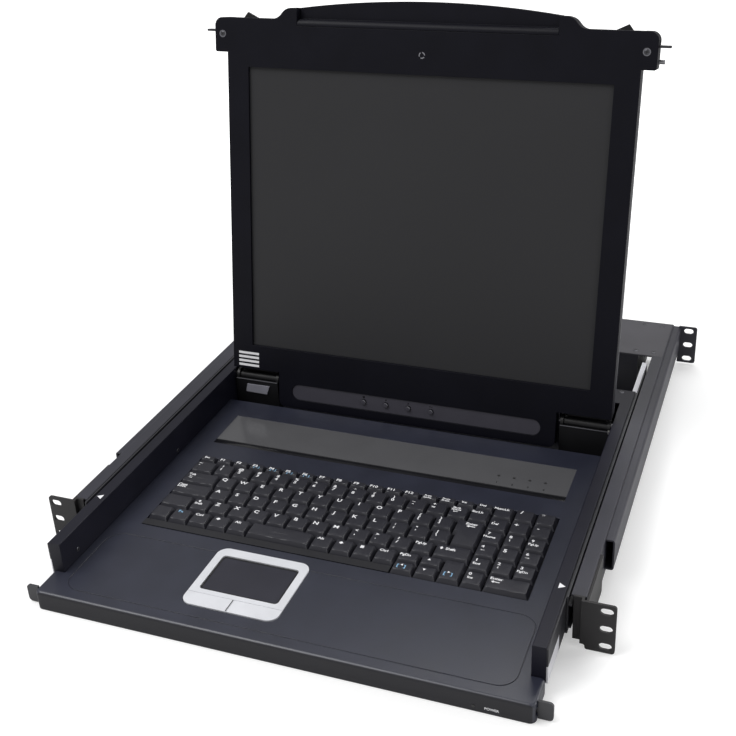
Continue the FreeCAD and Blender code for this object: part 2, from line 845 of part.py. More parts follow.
def power_supply():
    """The enclosed mains supply beside the board, with a row of cooling slots."""
    gauge = s.sheet_gauge
    right = s.housing_half - gauge * 2
    left = right - s.supply_width
    front = s.housing_start + gauge * 2
    back = front + s.supply_depth
    case = block("supply_case", (left, right), (front, back), (gauge, gauge + s.supply_height))
    slots = []
    pitch = s.supply_width / 11
    for step in range(9):
        x = left + pitch * (1.25 + step)
        slots.append(block(f"supply_slot{step}", (x, x + pitch / 2), (front + gauge * 3, back - gauge * 3),
                           (s.supply_height - gauge, s.supply_height + gauge * 2)))
    node("power_supply", cut("power_supply_done", case, slots), place_frame)


def power_inlet():
    """A mains appliance inlet: flange outside the panel, body inside, three blades."""
    end, wall = s.frame_length, s.inlet_wall
    middle = switch_centre_height()
    half_width, half_height = s.inlet_width / 2, s.inlet_height / 2
    flange = block("inlet_flange", (s.inlet_x - half_width - wall, s.inlet_x + half_width + wall),
                   (end, end + wall), (middle - half_height - wall, middle + half_height + wall))
    shell = block("inlet_shell", (s.inlet_x - half_width, s.inlet_x + half_width), (end - s.inlet_depth, end),
                  (middle - half_height, middle + half_height))
    well = block("inlet_well", (s.inlet_x - half_width + wall, s.inlet_x + half_width - wall),
                 (end - s.inlet_depth + wall * 1.5, end + wall * 1.5),
                 (middle - half_height + wall, middle + half_height - wall))
    blades = []
    half_blade = s.blade_width / 2
    for step, rise in ((-1, 0), (0, 1), (1, 0)):
        x = s.inlet_x + s.inlet_width / 4 * step
        z = middle + wall * rise
        blades.append(block(f"blade{step + 1}", (x - wall / 2, x + wall / 2),
                            (end - s.inlet_depth + wall, end - wall * 1.5), (z - half_blade, z + half_blade)))
    hollow = cut("inlet_hollow", fuse("inlet_outer", [flange, shell]), [well])
    node("power_inlet", fuse("power_inlet_done", [hollow] + blades), place_frame)


def power_switch():
    """A rocker with two faces that meet over its pivot, pressed on its lower half."""
    body = new_body("power_switch")
    half, reach = s.switch_height / 2, s.switch_width / 2
    face = s.switch_height / 9
    rise = half * math.tan(math.radians(s.switch_tilt.number))
    section = plane_sketch(body, "YZ_Plane", s.switch_x - reach)
    draw(section, [(-half / 2, -half), (face, -half), (face - rise, half * 0), (face, half),
                   (-half / 2, half)])
    pad(body, section, s.switch_width)
    pivot = rod("switch_pivot", "x", s.switch_pin, (s.switch_pin * 0, s.switch_pin * 0),
                s.switch_x - reach - s.slide_play, s.switch_x + reach + s.slide_play)
    rocker = fuse("power_switch_solid", [body, pivot])
    rocker.Placement = FreeCAD.Placement(
        FreeCAD.Vector(), FreeCAD.Rotation(FreeCAD.Vector(1, 0, 0), s.switch_tilt.number))
    link(rocker, "Placement.Rotation.Angle", s.switch_tilt)
    link(rocker, "Placement.Base.y", s.frame_length - s.sheet_gauge / 2)
    link(rocker, "Placement.Base.z", switch_centre_height())
    node("power_switch", together("power_switch_done", [rocker]), place_frame)


def computer_ports():
    """Four shielded connectors that stand on the board and pass through the panel."""
    low, high = port_height_limits()
    end, gauge = s.frame_length, s.sheet_gauge
    shells = []
    for index, x in enumerate(port_centres()):
        outer = block(f"port{index}_outer", (x - s.port_width / 2, x + s.port_width / 2),
                      (end - s.port_depth, end + s.port_proud), (low, high))
        well = block(f"port{index}_well", (x - s.port_width / 2 + gauge, x + s.port_width / 2 - gauge),
                     (end - s.port_proud, end + s.port_proud + gauge), (low + gauge, high - gauge))
        shells.append(cut(f"port{index}", outer, [well]))
    node("computer_ports", together("computer_ports_done", shells), place_frame)


def slides():
    """Outer member in the rail, hooked middle member, inner member on the drawer."""
    gauge = s.slide_gauge
    play = s.slide_play
    web = s.rail_outer - s.sheet_gauge
    low, high = s.slide_flange_low, s.slide_flange_high
    outer_low, outer_high = low - play - gauge, high + play + gauge
    lips = s.channel_outer + s.slide_mouth
    outer = new_body("slide_outer")
    section = plane_sketch(outer, "XZ_Plane", -s.slide_outer_start)
    draw(section, [(lips, outer_low), (web, outer_low), (web, outer_high), (lips, outer_high),
                   (lips, outer_high - gauge), (web - gauge, outer_high - gauge),
                   (web - gauge, outer_low + gauge), (lips, outer_low + gauge)])
    pad(outer, section, s.slide_outer_length, backwards=True)
    node_pair("slide_outer", outer, place_frame)

    inner_face = s.channel_outer + gauge
    hook_high = s.slide_inner_low - play
    hook_low = hook_high - gauge
    mid_in = inner_face + play
    mid_out = mid_in + gauge
    mid = new_body("slide_mid")
    section = plane_sketch(mid, "XZ_Plane", -s.sheet_gauge)
    draw(section, [(inner_face - s.slide_hook, hook_low), (mid_out, hook_low), (mid_out, low),
                   (s.slide_mid_reach, low), (s.slide_mid_reach, low + gauge), (mid_out, low + gauge),
                   (mid_out, high - gauge), (s.slide_mid_reach, high - gauge), (s.slide_mid_reach, high),
                   (mid_out, high), (mid_out, s.slide_mid_top), (mid_in, s.slide_mid_top),
                   (mid_in, hook_high), (inner_face - s.slide_hook, hook_high)])
    pad(mid, section, s.slide_mid_length, backwards=True)
    node_pair("slide_mid", mid, place_frame)

    inner = new_body("slide_inner")
    section = plane_sketch(inner, "XZ_Plane", -(s.channel_front + play))
    draw(section, [(inner_face - s.slide_hook, s.slide_inner_low), (inner_face, s.slide_inner_low),
                   (inner_face, s.slide_inner_top), (s.channel_outer, s.slide_inner_top),
                   (s.channel_outer, s.slide_inner_low + gauge),
                   (inner_face - s.slide_hook, s.slide_inner_low + gauge)])
    pad(inner, section, s.drawer_length - s.channel_front - play, backwards=True)
    tail_top = s.frame_height - s.sheet_gauge - play
    tail = plane_sketch(inner, "XZ_Plane", -s.drawer_length)
    draw(tail, [(s.channel_outer, s.slide_inner_low), (inner_face, s.slide_inner_low),
                (inner_face, tail_top), (inner_face - s.slide_hook, tail_top),
                (inner_face - s.slide_hook, tail_top - gauge), (s.channel_outer, tail_top - gauge)])
    pad(inner, tail, s.slide_tail, backwards=True)
    node_pair("slide_inner", inner, place_tray)


# Drawer

def drawer_pan():
    """The floor of the drawer."""
    body = new_body("drawer_pan")
    half = s.channel_inner + s.floor_gauge
    plan = plane_sketch(body, "XY_Plane", s.floor_height)
    draw(plan, frame_corners((-half, half), (s.deck_wall + s.well_play * 2, s.drawer_length)))
    pad(body, plan, s.floor_gauge)
    node("drawer_pan", body, place_tray)


def side_channel():
    """A folded channel along the drawer: inner wall, top, outer wall and a front cap."""
    body = new_body("side_channel")
    wall = s.floor_gauge
    floor = s.floor_height + wall
    section = plane_sketch(body, "XZ_Plane", -s.channel_front)
    draw(section, [(s.channel_inner, floor), (s.channel_inner + wall, floor),
                   (s.channel_inner + wall, s.frame_height - wall),
                   (s.channel_outer - wall, s.frame_height - wall),
                   (s.channel_outer - wall, s.channel_low), (s.channel_outer, s.channel_low),
                   (s.channel_outer, s.frame_height), (s.channel_inner, s.frame_height)])
    pad(body, section, s.channel_back - s.channel_front, backwards=True)
    cap = plane_sketch(body, "XZ_Plane", -s.channel_front)
    draw(cap, frame_corners((s.channel_inner + wall, s.channel_outer - wall),
                            (s.deck_top, s.frame_height - wall)))
    pad(body, cap, wall, backwards=True)
    folds = [(s.channel_inner, s.frame_height), (s.channel_outer, s.frame_height)]
    round_edges(body, "y", folds, s.channel_bend)
    node_pair("side_channel", body, place_tray)


def cross_cover():
    """The cover behind the screen: side wings, a well for the screen's foot, a rear wall."""
    wall = s.floor_gauge
    top = s.frame_height
    back = s.drawer_length
    front = s.channel_back
    floor = s.floor_height + wall
    plate = block("cross_plate", (-s.channel_outer, s.channel_outer), (front, back), (top - wall, top))
    well = block("cross_well", (-s.channel_inner, s.channel_inner), (front - wall, s.hinge_well_back),
                 (top - wall * 2, top + wall))
    pieces = [cut("cross_top", plate, [well])]
    pieces.append(block("cross_rear", (-s.channel_inner - wall, s.channel_inner + wall),
                        (back - wall, back), (floor, top)))
    for side in (-1, 1):
        for tag, low, high, foot in (("in", s.channel_inner, s.channel_inner + wall, floor),
                                     ("out", s.channel_outer - wall, s.channel_outer, s.channel_low)):
            limits = (low, high) if side > 0 else (-high, -low)
            pieces.append(block(f"cross_{tag}{side + 1}", limits, (front, back), (foot, top)))
    node("cross_cover", fuse("cross_cover_done", pieces), place_tray)


def deck():
    """The moulded top of the tray: front bar, palm rest, keyboard well, rear ledge."""
    body = new_body("deck")
    step = s.channel_front - s.slide_play
    half, inner, wall = s.deck_half, s.deck_inner_half, s.deck_wall
    floor = s.floor_height + s.floor_gauge
    plan = plane_sketch(body, "XY_Plane", floor)
    draw(plan, [(-half, 0), (half, 0), (half, step), (inner, step), (inner, s.deck_back),
                (-inner, s.deck_back), (-inner, step), (-half, step)])
    pad(body, plan, s.deck_top - floor)
    chin = plane_sketch(body, "XY_Plane", 0)
    draw(chin, frame_corners((-half, half), (0, s.deck_chin)))
    pad(body, chin, floor)
    round_edges(body, "z", [(-half, 0), (half, 0)], s.deck_corner)
    round_edges(body, "x", [(0, s.deck_top)], s.deck_edge)
    side, bend = half - wall, s.deck_corner - wall
    hollow = plane_sketch(body, "XY_Plane", s.deck_top - wall)
    draw(hollow, [(bend - side, wall, bend), (side - bend, wall), (side, wall + bend, bend),
                  (side, step - wall), (inner - wall, step - wall), (inner - wall, s.deck_back - wall),
                  (wall - inner, s.deck_back - wall), (wall - inner, step - wall),
                  (-side, step - wall), (-side, wall + bend)])
    pocket(body, hollow, s.deck_top)
    play = s.slide_play
    openings = plane_sketch(body, "XY_Plane", s.deck_top)
    draw(openings, frame_corners((-s.well_left, s.well_right), (s.well_front, s.well_back)))
    draw(openings, touchpad_hole(play))
    pocket(body, openings, wall)
    strip = plane_sketch(body, "XY_Plane", s.deck_top)
    draw(strip, frame_corners((-s.strip_half, s.strip_half), (s.strip_front - s.strip_band, s.strip_back)))
    pocket(body, strip, s.strip_depth)
    palm_groove(body)
    catch_slots(body)
    lamp_hole = plane_sketch(body, "XZ_Plane", 0)
    lamp_hole_outline(lamp_hole, (s.power_lamp_x, s.power_lamp_height))
    pocket(body, lamp_hole, wall)
    node("deck", body, place_tray)


def lamp_hole_outline(sketch, centre):
    """A hole with a little play round a lamp."""
    width = (s.lamp_radius + s.slide_play / 3) * 2
    draw_slot(sketch, centre, width + s.slide_play / 2, width)


def touchpad_hole(play):
    """The hole in the deck: wide under the buttons, narrower where the rim rests."""
    left, right = s.pad_frame_left - play, s.pad_frame_right + play
    front, bend = s.pad_frame_front - play, s.pad_frame_corner + play
    split = s.pad_button_back + play
    (tub_left, tub_right), (_, tub_back) = touchpad_limits()
    return [(left + bend, front, bend), (right - bend, front), (right, front + bend, bend),
            (right, split), (tub_right + play, split), (tub_right + play, tub_back + play),
            (tub_left - play, tub_back + play), (tub_left - play, split), (left, split),
            (left, front + bend)]


def round_corners(u, v, bend):
    """The corners of an upright rectangle whose corners are rounded."""
    (left, right), (low, high) = u, v
    return [(left + bend, low, bend), (right - bend, low), (right, low + bend, bend),
            (right, high - bend), (right - bend, high, bend), (left + bend, high),
            (left, high - bend, bend), (left, low + bend)]


def palm_groove(body):
    """The thin line that frames the palm rest, with round corners."""
    sketch = plane_sketch(body, "XY_Plane", s.deck_top)
    for inset in (s.groove_width * 0, s.groove_width):
        half = s.groove_half - inset
        draw(sketch, round_corners((-half, half), (s.groove_front + inset, s.groove_back - inset),
                                   s.groove_corner - inset))
    pocket(body, sketch, s.groove_depth)


def catch_stem_limits():
    rise = (s.catch_high - s.catch_low) / 3
    return s.catch_low + rise, s.catch_high - rise


def catch_slots(body):
    """The slots in both ends of the front bar where the release catches slide."""
    play = s.slide_play
    low, high = catch_stem_limits()
    sketch = plane_sketch(body, "YZ_Plane", -s.deck_half - 1)
    draw(sketch, frame_corners((s.catch_y - s.catch_travel - play, s.catch_y + s.catch_gauge + play),
                               (low - play, high + play)))
    pocket(body, sketch, s.deck_half * 2 + 2, backwards=True)


def status_strip():
    """The glossy strip that lies flush in the deck, with holes for the lamps."""
    body = new_body("status_strip")
    plan = plane_sketch(body, "XY_Plane", s.deck_top - s.strip_depth)
    draw(plan, frame_corners((-s.strip_half, s.strip_half), (s.strip_front, s.strip_back)))
    pad(body, plan, s.strip_depth)
    holes = plane_sketch(body, "XY_Plane", s.deck_top)
    lamp_hole_outline(holes, (s.lamp_x, s.lamp_y))
    row = pocket(body, holes, s.strip_depth)
    repeat_along(body, row, "X_Axis", s.lamp_pitch, 4)
    node("status_strip", body, place_tray)


def lamps():
    """Four status lamps in the strip and the power lamp in the tray front."""
    rods = []
    for step in range(4):
        rods.append(rod(f"lamp{step}", "z", s.lamp_radius, (s.lamp_x + s.lamp_pitch * step, s.lamp_y),
                        s.deck_top - s.strip_depth, s.deck_top + s.lamp_radius / 4))
    rods.append(rod("power_lamp", "y", s.lamp_radius, (s.power_lamp_x, s.power_lamp_height),
                    -s.lamp_radius / 4, s.deck_wall))
    node("lamps", together("lamps_done", rods), place_tray)


def touchpad_limits():
    """Limits of the tub under the touchpad's rim."""
    return ((s.pad_frame_left + s.pad_lip, s.pad_frame_right - s.pad_lip),
            (s.pad_frame_front + s.pad_foot, s.pad_frame_back - s.pad_lip))


def touchpad_frame():
    """A rounded rim on a tub, open above for the pad and cut away for the buttons."""
    body = new_body("touchpad_frame")
    tub_x, tub_y = touchpad_limits()
    wall, play = s.floor_gauge, s.slide_play
    frame_x = (s.pad_frame_left, s.pad_frame_right)
    tub = plane_sketch(body, "XY_Plane", s.pad_tub_low)
    draw(tub, frame_corners(tub_x, tub_y))
    pad(body, tub, s.deck_top - s.pad_tub_low)
    rim = plane_sketch(body, "XY_Plane", s.deck_top)
    draw(rim, round_corners(frame_x, (s.pad_frame_front, s.pad_frame_back), s.pad_frame_corner))
    pad(body, rim, s.pad_frame_rise)
    window = plane_sketch(body, "XY_Plane", s.pad_frame_top)
    draw(window, round_corners((s.pad_left - play, s.pad_right + play),
                               (s.pad_low - play, s.pad_high + play), s.pad_corner + play))
    pocket(body, window, s.pad_frame_top - s.pad_tub_low - wall)
    front = plane_sketch(body, "XY_Plane", s.pad_frame_top)
    split = s.pad_button_back + play
    draw(front, frame_corners((frame_x[0] - play, frame_x[1] + play), (s.pad_frame_front - play, split)))
    pocket(body, front, s.pad_button_height + s.pad_button_travel + play)
    hollow = plane_sketch(body, "XY_Plane", s.pad_frame_top)
    draw(hollow, frame_corners((tub_x[0] + wall, tub_x[1] - wall), (tub_y[0] + wall, split - wall)))
    pocket(body, hollow, s.pad_frame_top - s.pad_tub_low - wall)
    node("touchpad_frame", body, place_tray)


def touchpad():
    """The sensing plate and the two buttons, which make up the frame's front edge."""
    low = s.pad_tub_low + s.floor_gauge
    body = new_body("touchpad")
    plate = plane_sketch(body, "XY_Plane", low)
    draw(plate, round_corners((s.pad_left, s.pad_right), (s.pad_low, s.pad_high), s.pad_corner))
    pad(body, plate, s.pad_frame_top - s.pad_drop - low)
    node("touchpad", body, place_tray)
    middle = (s.pad_left + s.pad_right) / 2
    gap, bend = s.slide_play / 2, s.pad_frame_corner
    front, back = s.pad_frame_front, s.pad_button_back
    outlines = {
        "left": [(s.pad_frame_left + bend, front, bend), (middle - gap, front),
                 (middle - gap, back), (s.pad_frame_left, back), (s.pad_frame_left, front + bend)],
        "right": [(middle + gap, front), (s.pad_frame_right - bend, front),
                  (s.pad_frame_right, front + bend, bend), (s.pad_frame_right, back),
                  (middle + gap, back)],
    }
    for name, outline in outlines.items():
        button = new_body(f"pad_button_{name}")
        plan = plane_sketch(button, "XY_Plane", s.pad_frame_top - s.pad_button_height)
        draw(plan, outline)
        pad(button, plan, s.pad_button_height)
        node(f"touchpad_button_{name}", button, place_tray)


# Keyboard

def main_row_front(row):
    return s.main_front + s.key_row * row


def arrows_left():
    return s.key_area_width - s.key_area_left - s.arrow_width * 3


def pad_left_edge():
    return s.key_area_width - s.key_area_left


def stem_slot(name, x, front, depth):
    """The slot that the stems of one row of keys dip into."""
    half = s.stem_width * 0.65
    middle = front + depth / 2
    return block(name, (x[0] + s.key_gap * 2, x[1] - s.key_gap * 2), (middle - half, middle + half),
                 (s.keyboard_top - s.stem_slot_depth, s.keyboard_top + s.stem_slot_depth))


def keyboard_base():
    """The plate under the keys, with a slot for each row and a ledge in front."""
    play = s.slide_play
    edge = s.key_gap * 2
    base = block("keyboard_plate", (-s.well_left - edge, s.well_right + edge),
                 (s.well_front - edge, s.well_back + edge), (s.floor_height + s.floor_gauge, s.keyboard_top))
    ledge = block("keyboard_ledge", (play - s.well_left, arrows_left() - play),
                  (s.well_front + play, s.main_front - play * 2), (s.keyboard_top - edge, s.ledge_top))
    left, right = -s.key_area_left, pad_left_edge()
    slots = []
    for row in range(6):
        depth = s.key_row if row < 5 else s.function_row
        end = arrows_left() if row == 0 else right
        slots.append(stem_slot(f"row_slot{row}", (left, end), main_row_front(row), depth))
        slots.append(stem_slot(f"pad_slot{row}", (right, right + s.pad_pitch * 3),
                               s.pad_front + s.key_row * row, s.key_row))
    tall = right - s.arrow_width
    for row in range(2):
        slots.append(stem_slot(f"arrow_slot{row}", (arrows_left(), tall),
                               s.pad_front + arrow_depth() * row, arrow_depth()))
    slots.append(stem_slot("arrow_slot_tall", (tall, right), s.pad_front, arrow_depth() * 2))
    node("keyboard_base", cut("keyboard_base_done", fuse("keyboard_solid", [base, ledge]), slots), place_tray)


def arrow_depth():
    return (main_row_front(1) - s.pad_front) / 2


def keycap(name, left, width, front, depth, stems=1):
    """One keycap that narrows towards its top, on its stems."""
    cap = doc.addObject("Part::Wedge", name)
    cap.Placement = FreeCAD.Placement(FreeCAD.Vector(), FreeCAD.Rotation(FreeCAD.Vector(1, 0, 0), 90))
    base = s.deck_top + s.key_proud - s.key_height
    half_gap = s.key_gap / 2
    wide, deep = width - s.key_gap, depth - s.key_gap
    limits = {"Xmin": 0, "Xmax": wide, "X2min": s.key_taper, "X2max": wide - s.key_taper,
              "Ymin": 0, "Ymax": s.key_height,
              "Zmin": 0, "Zmax": deep, "Z2min": s.key_taper * 0.6, "Z2max": deep - s.key_taper * 1.3}
    for prop, value in limits.items():
        link(cap, prop, value)
    link(cap, "Placement.Base.x", left + half_gap)
    link(cap, "Placement.Base.y", front + depth - half_gap)
    link(cap, "Placement.Base.z", base)
    pieces = [cap]
    half = s.stem_width / 2
    for step in range(stems):
        x = left + width / (2 * stems) * (1 + 2 * step)
        y = front + depth / 2
        pieces.append(block(f"{name}_stem{step}", (x - half, x + half), (y - half, y + half),
                            (s.keyboard_top + s.slide_play, base + half_gap)))
    return pieces


def key_row(name, left, widths, front, depth):
    """A row of keys side by side."""
    pieces = []
    for index, width in enumerate(widths):
        pieces += keycap(f"{name}{index}_", left, width, front, depth)
        left = left + width
    return pieces


def keys():
    """Every group of keys, from the rear row to the front row."""
    left, pitch, depth = -s.key_area_left, s.key_pitch, s.key_row
    rows = {
        "keys_function": (5, left, [s.key_area_width / 17] * 17, s.function_row),
        "keys_number": (4, left, [s.enter_width] + [pitch] * 14, depth),
        "keys_upper": (3, left, [s.tab_width] + [pitch] * 12, depth),
        "keys_home": (2, left, [s.caps_width] + [pitch] * 12, depth),
        "keys_lower": (1, left, [s.shift_width] + [pitch] * 12 + [right_shift_width()], depth),
        "keys_bottom": (0, left, [pitch] * 5, depth),
    }
    for name, (row, start, widths, deep) in rows.items():
        pieces = key_row(name, start, widths, main_row_front(row), deep)
        if name == "keys_bottom":
            pieces += key_row(f"{name}_r", arrows_left() - pitch * 4, [pitch] * 4, main_row_front(row), deep)
        node(name, fuse(f"{name}_done", pieces), place_tray)
    space_left = left + pitch * 5
    space = keycap("space", space_left, arrows_left() - pitch * 4 - space_left, s.main_front, depth, stems=2)
    node("space_bar", fuse("space_done", space), place_tray)
    enter_key()
    arrow_keys()
    number_pad()


def right_shift_width():
    return s.key_area_width - s.shift_width - s.key_pitch * 12


def enter_key():
    """The tall key whose upper half is the wider one."""
    upper_width = s.enter_width + s.enter_step
    pieces = keycap("enter_tall", pad_left_edge() - s.enter_width, s.enter_width,
                    main_row_front(2), s.key_row * 2, stems=0)
    pieces += keycap("enter_upper", pad_left_edge() - upper_width, upper_width, main_row_front(3), s.key_row)
    pieces += keycap("enter_lower", pad_left_edge() - s.enter_width, s.enter_width,
                     main_row_front(2), s.key_row)
    node("enter_key", fuse("enter_done", pieces), place_tray)


def arrow_keys():
    """Two columns of low keys and a tall key at the right."""
    pieces = []
    for column in range(2):
        for row in range(2):
            pieces += keycap(f"arrow{column}{row}_", arrows_left() + s.arrow_width * column, s.arrow_width,
                             s.pad_front + arrow_depth() * row, arrow_depth())
    pieces += keycap("arrow_tall", arrows_left() + s.arrow_width * 2, s.arrow_width,
                     s.pad_front, arrow_depth() * 2)
    node("keys_arrows", fuse("keys_arrows_done", pieces), place_tray)


def number_pad():
    """Six rows of three keys; in the front row the last key is twice as wide."""
    pieces = []
    for row in range(6):
        widths = [s.pad_pitch] * 3 if row else [s.pad_pitch, s.pad_pitch * 2]
        pieces += key_row(f"numpad{row}_", pad_left_edge(), widths, s.pad_front + s.key_row * row, s.key_row)
    node("keys_numpad", fuse("keys_numpad_done", pieces), place_tray)


# Screen hinge and tray catches

def hinge_bases():
    """Two feet on the drawer floor; each carries two eyes for the hinge pin."""
    floor = s.floor_height + s.floor_gauge
    reach, wall, margin = s.knuckle_radius, s.lid_wall, s.hinge_margin
    back = s.hinge_y + reach + margin
    front = s.hinge_y - reach - margin
    wall_back = s.hinge_y - reach
    pieces = [block("hinge_foot", (s.hinge_inner, s.hinge_outer), (front, back), (floor, floor + wall)),
              block("hinge_wall", (s.hinge_inner, s.hinge_outer), (wall_back - wall, wall_back),
                    (floor, s.hinge_z))]
    for name, x in (("inner", (s.hinge_inner, s.hinge_inner + s.knuckle_width)),
                    ("outer", (s.hinge_outer - s.knuckle_width, s.hinge_outer))):
        pieces.append(block(f"eye_{name}", x, (s.hinge_y - reach, s.hinge_y + reach), (floor, s.hinge_z)))
        pieces.append(block(f"web_{name}", x, (wall_back - wall, s.hinge_y), (floor, s.hinge_z - reach)))
        pieces.append(rod(f"round_{name}", "x", reach, (s.hinge_y, s.hinge_z), x[0], x[1]))
    bore = rod("eye_bore", "x", s.pin_radius + s.pin_play, (s.hinge_y, s.hinge_z),
               s.hinge_inner - 1, s.hinge_outer + 1)
    both_sides("hinge_bases", cut("hinge_base", fuse("hinge_base_solid", pieces), [bore]), place_tray)


def hinge_pins():
    """A headed pin through each hinge."""
    head = rod("pin_head", "x", s.pin_radius * 1.6, (s.hinge_y, s.hinge_z),
               s.hinge_outer, s.hinge_outer + s.pin_radius * 0.8)
    shank = rod("pin_shank", "x", s.pin_radius, (s.hinge_y, s.hinge_z),
                s.hinge_inner - s.pin_radius * 0.8, s.hinge_outer)
    both_sides("hinge_pins", fuse("hinge_pin", [head, shank]), place_tray)


def tray_catch():
    """A release plate beside the front bar; its stem slides in the bar's end."""
    body = new_body("tray_catch")
    plate = plane_sketch(body, "XZ_Plane", -s.catch_y)
    near = s.deck_half + s.slide_play
    far = near + s.catch_width
    draw(plate, frame_corners((near, far), (s.catch_low, s.catch_high)))
    pad(body, plate, s.catch_gauge, backwards=True)
    low, high = catch_stem_limits()
    stem = plane_sketch(body, "XZ_Plane", -s.catch_y)
    draw(stem, frame_corners((near - s.slide_hook * 2, near), (low, high)))
    pad(body, stem, s.catch_gauge, backwards=True)
    round_edges(body, "y", [(far, s.catch_low), (far, s.catch_high)], s.catch_corner)
    node_pair("tray_catch", body, place_tray)


# Lid: sketches are drawn from the front, heights run from the hinge axis

def up(height):
    """Height above the hinge axis of a height above the picture's lower edge."""
    return height + s.hinge_drop


def lid_foot(side, low, tail, foot):
    """The lower edge of the lid, from left to right, with its narrower tail."""
    left = [(-side, up(low)), (-tail, up(low)), (-tail, up(foot))]
    right = [(tail, up(foot)), (tail, up(low)), (side, up(low))]
    return left + right


def grip_notch(inset, top):
    """The cut-out that takes the grip, from right to left."""
    half = s.grip_half + s.slide_play + inset
    low = up(s.grip_low - s.slide_play - inset)
    return [(half, up(top)), (half, low), (-half, low), (-half, up(top))]


def lid_top(inset):
    """The top edge from right to left: two S-shaped shoulders and the grip's cut-out."""
    outer, inner = s.shoulder_half - inset, s.arch_half - inset
    low, high = up(s.ear_top - inset), up(s.arch_start - inset)
    knee = ((outer + inner) / 2, (low + high) / 2)
    bend = shoulder_bend()
    right = [(outer, low), (knee[0], knee[1], -bend), (inner, high, bend)]
    left = [(-inner, high), (-knee[0], knee[1], bend), (-outer, low, -bend)]
    return right + grip_notch(s.lid_wall * 0, s.arch_start - inset) + left


def shoulder_bend():
    """Radius of the two arcs that make up a shoulder."""
    swing, rise = s.shoulder_width / 2, s.shoulder_rise / 2
    return (swing * swing + rise * rise) / (rise * 2)


def lid_room(inset, side_inset):
    """The hollow of a lid half; it stays below the shoulders."""
    top = s.ear_top - inset
    side = s.lid_half - side_inset
    foot = lid_foot(side, s.lid_low + inset, s.tail_half - inset, s.tail_low + inset)
    return foot + [(side, up(top))] + grip_notch(inset, top) + [(-side, up(top))]


def lid_bezel():
    """The front half of the lid: face, skirt, picture window, ears and control bar."""
    body = new_body("lid_bezel")
    flat = s.lid_wall * 0
    face = plane_sketch(body, "XZ_Plane", s.bezel_depth)
    ear, side, low, top = s.ear_half, s.lid_half, up(s.ear_low), up(s.ear_top)
    outline = lid_foot(side, s.lid_low, s.tail_half, s.tail_low)
    outline += [(side, low), (ear, low), (ear, top)] + lid_top(flat) + [(-ear, top), (-ear, low), (-side, low)]
    draw(face, outline)
    pad(body, face, s.bezel_depth, backwards=True)
    ears = plane_sketch(body, "XZ_Plane", 0)
    for limits in ((side, ear), (-ear, -side)):
        draw(ears, frame_corners(limits, (low, top)))
    pad(body, ears, s.ear_depth, backwards=True)
    round_edges(body, "y", [(ear, top), (-ear, top)], s.ear_radius)
    round_edges(body, "y", [(ear, low), (-ear, low)], s.ear_foot_radius)
    foot = [(s.tail_half, up(s.tail_low)), (-s.tail_half, up(s.tail_low))]
    round_edges(body, "y", foot, s.lid_corner)
    hollow_lid_bezel(body)
    window = plane_sketch(body, "XZ_Plane", s.bezel_depth)
    half = s.screen_width / 2
    draw(window, frame_corners((-half, half), (up(flat), up(s.screen_height))))
    pocket(body, window, s.bezel_face)
    bar = plane_sketch(body, "XZ_Plane", s.bezel_depth)
    draw_slot(bar, (flat, up((s.control_low + s.control_high) / 2)), s.control_half * 2,
              s.control_high - s.control_low)
    pocket(body, bar, s.control_depth)
    holes = plane_sketch(body, "XZ_Plane", s.bezel_depth)
    reach = (s.menu_button_radius + s.slide_play) * 2
    draw_slot(holes, (s.menu_button_x, up(s.menu_button_height)), reach + s.pin_play, reach)
    row = pocket(body, holes, s.bezel_face)
    repeat_along(body, row, "X_Axis", s.menu_button_pitch, 4)
    node("lid_bezel", cut("lid_bezel_done", body, lid_side_holes()), place_lid)


def hollow_lid_bezel(body):
    """Hollow the bezel and its ears from behind."""
    wall = s.lid_wall
    room = plane_sketch(body, "XZ_Plane", 0)
    draw(room, lid_room(wall, wall))
    pocket(body, room, s.bezel_depth - s.bezel_face, backwards=True)
    front = plane_sketch(body, "XZ_Plane", wall * 0)
    inner, outer = s.lid_half - wall, s.ear_half - wall
    back_wall = s.ear_depth - wall * 0.75
    for limits in ((inner, outer), (-outer, -inner)):
        draw(front, frame_corners(limits, (up(s.ear_low + wall), up(s.ear_top - wall))))
    pocket(body, front, s.bezel_depth - s.bezel_face, backwards=True)
    back = plane_sketch(body, "XZ_Plane", wall * 0)
    for limits in ((s.lid_half, outer), (-outer, -s.lid_half)):
        draw(back, frame_corners(limits, (up(s.ear_low + wall), up(s.ear_top - wall))))
    pocket(body, back, back_wall)


def lid_side_holes():
    """Tools for the slots of the lid catches and the holes of the latch pins."""
    play = s.slide_play
    low, high = lid_catch_limits()
    depth = lid_catch_stem_depth()
    tools = []
    for side in (1, -1):
        inner, outer = s.ear_half - s.lid_wall - 1, s.ear_half + 1
        limits = (inner, outer) if side > 0 else (-outer, -inner)
        tools.append(block(f"catch_slot{side + 1}", limits, (depth[0] - play, depth[1] + play),
                           (low - play, high + s.lid_catch_travel + play)))
        tools.append(rod(f"pin_hole{side + 1}", "x", s.latch_pin_radius + s.pin_play, latch_pin_place(),
                         limits[0], limits[1]))
    return tools


def latch_pin_place():
    return s.latch_pin_depth - s.bezel_depth, up(s.latch_pin_height)


def lid_catch_limits():
    """Height limits of a lid catch above the hinge axis."""
    low = up(s.lid_catch_height)
    return low, low + s.catch_gauge


def lid_catch_stem_depth():
    middle = s.bezel_face / 2 - s.bezel_depth / 2
    return middle - s.lid_catch_depth / 4, middle + s.lid_catch_depth / 4


